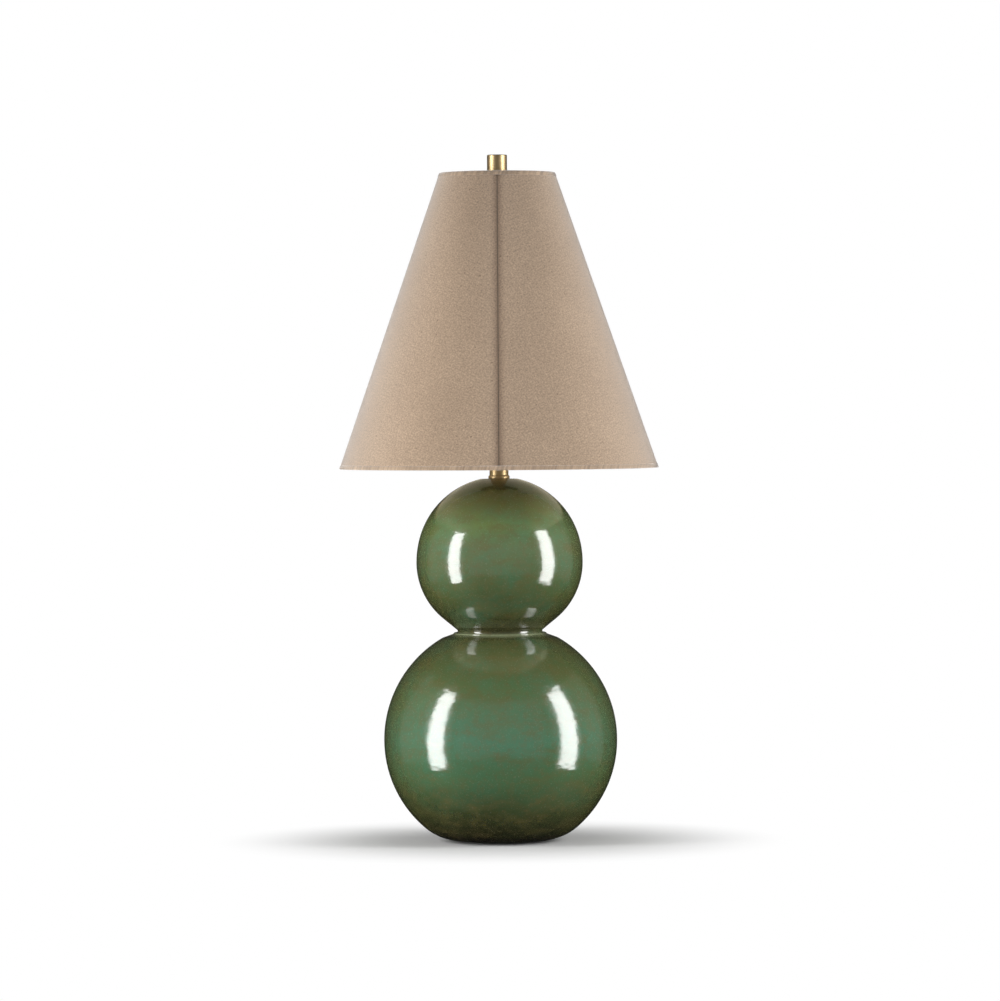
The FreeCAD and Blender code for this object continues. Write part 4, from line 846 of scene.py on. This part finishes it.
def soft_box(name, azimuth, distance, width, height, middle, radiance):
    """A tall area lamp; azimuth 0 is in front of the lamp, positive to the right."""
    data = bpy.data.lights.new(name, "AREA")
    data.shape = "RECTANGLE"
    data.size, data.size_y = width, height
    data.energy = radiance * math.pi * width * height
    lamp = bpy.data.objects.new(name, data)
    turn = math.radians(azimuth)
    lamp.location = (distance * math.sin(turn), -distance * math.cos(turn), middle)
    aim = Vector((0, 0, middle)) - lamp.location
    lamp.rotation_euler = aim.to_track_quat("-Z", "Y").to_euler()
    lamp.visible_camera = False
    bpy.context.scene.collection.objects.link(lamp)
    return lamp


for box in SOFT_BOXES:
    soft_box(*box)
for fill in FILLS:
    soft_box(*fill).visible_glossy = False
print(len(SOFT_BOXES), "soft boxes and", len(FILLS), "fills")

# %% [markdown]
# ## Cards
# A glossy pot mirrors all that stands round it, so a photographer puts up cards. Dark
# ones keep the glaze deep. A dim grey one on each flank gives the faint outer bands, and
# one in front is the light against which the shade's rim mirrors as a curved edge. They
# could be separate planes, but one round wall leaves no gaps between them. Its faces
# take one of three finishes, and it shows only in reflections.

# %% Wall of cards
CARD_RADIUS = 2.4
# heights of the wall's foot, of both edges of the bright cards, and of its top
CARD_LEVELS = (-0.8, -0.5, 2.1, 3.2)

cards = start(bpy.ops.mesh.primitive_circle_add, vertices=90, radius=CARD_RADIUS,
              fill_type="NGON", location=(0, 0, CARD_LEVELS[0]))
for low, high in zip(CARD_LEVELS, CARD_LEVELS[1:]):
    bpy.ops.mesh.extrude_region_move(TRANSFORM_OT_translate={"value": (0, 0, high - low)})
close(cards, "dark_cards")

# %% Dark, grey and front cards
# azimuths in degrees; the front card reaches as far to both sides
LEFT_CARD, RIGHT_CARD, FRONT_REACH = (-116, -80), (90, 120), 46
DARK, GREY, FRONT = range(3)

dark_card = Finish("dark_card", Base_Color=(0.03, 0.028, 0.025, 1), Roughness=0.9)
grey_card = Finish("grey_card", Base_Color=(0, 0, 0, 1), Emission_Color=(1, 0.97, 0.9, 1),
                   Emission_Strength=0.15)
front_card = Finish("front_card", Base_Color=(0, 0, 0, 1), Emission_Color=(1, 1, 1, 1),
                    Emission_Strength=0.18)
for finish in (dark_card, grey_card, front_card):
    cards.data.materials.append(finish.material)
for face in cards.data.polygons:
    azimuth = math.degrees(math.atan2(face.center.x, -face.center.y))
    beside = any(low < azimuth < high for low, high in (LEFT_CARD, RIGHT_CARD))
    upright = abs(face.normal.z) < 0.5
    if upright and CARD_LEVELS[1] < face.center.z < CARD_LEVELS[2]:
        face.material_index = GREY if beside else FRONT if abs(azimuth) < FRONT_REACH else DARK
cards.visible_camera = False
cards.visible_diffuse = False
cards.visible_shadow = False
cards.visible_transmission = False
report(dark_card, grey_card, front_card)

# %% [markdown]
# ## Camera
# The picture was taken from far away with a long lens, a little above the foot of the
# shade, so the lamp shows almost no perspective. A view with none at all would come
# close, but the upper rim of the shade would then curve the wrong way. The camera stands
# about five metres off and leans by a little over a third of a degree, as in the picture.

# %% Camera
CAMERA_DISTANCE, CAMERA_HEIGHT = 5.1, 0.417
# the picture's height at the lamp, the point at its middle, and its turn in degrees
FRAME_HEIGHT, TARGET, ROLL = 0.953, Vector((0.0008, 0, 0.3243)), -0.37
SENSOR = 36.0

view = bpy.data.cameras.new("camera")
view.sensor_width = SENSOR
view.lens = SENSOR * CAMERA_DISTANCE / FRAME_HEIGHT
view.clip_start, view.clip_end = 0.5, 40
camera = bpy.data.objects.new("camera", view)
camera.location = (0, -CAMERA_DISTANCE, CAMERA_HEIGHT)
aim = (TARGET - camera.location).to_track_quat("-Z", "Y")
camera.rotation_mode = "QUATERNION"
camera.rotation_quaternion = aim @ Matrix.Rotation(math.radians(ROLL), 4, "Z").to_quaternion()
bpy.context.scene.collection.objects.link(camera)
bpy.context.scene.camera = camera
bpy.context.scene.view_settings.view_transform = "Standard"
print("camera with a %.0f mm lens, %.1f m off" % (view.lens, CAMERA_DISTANCE))
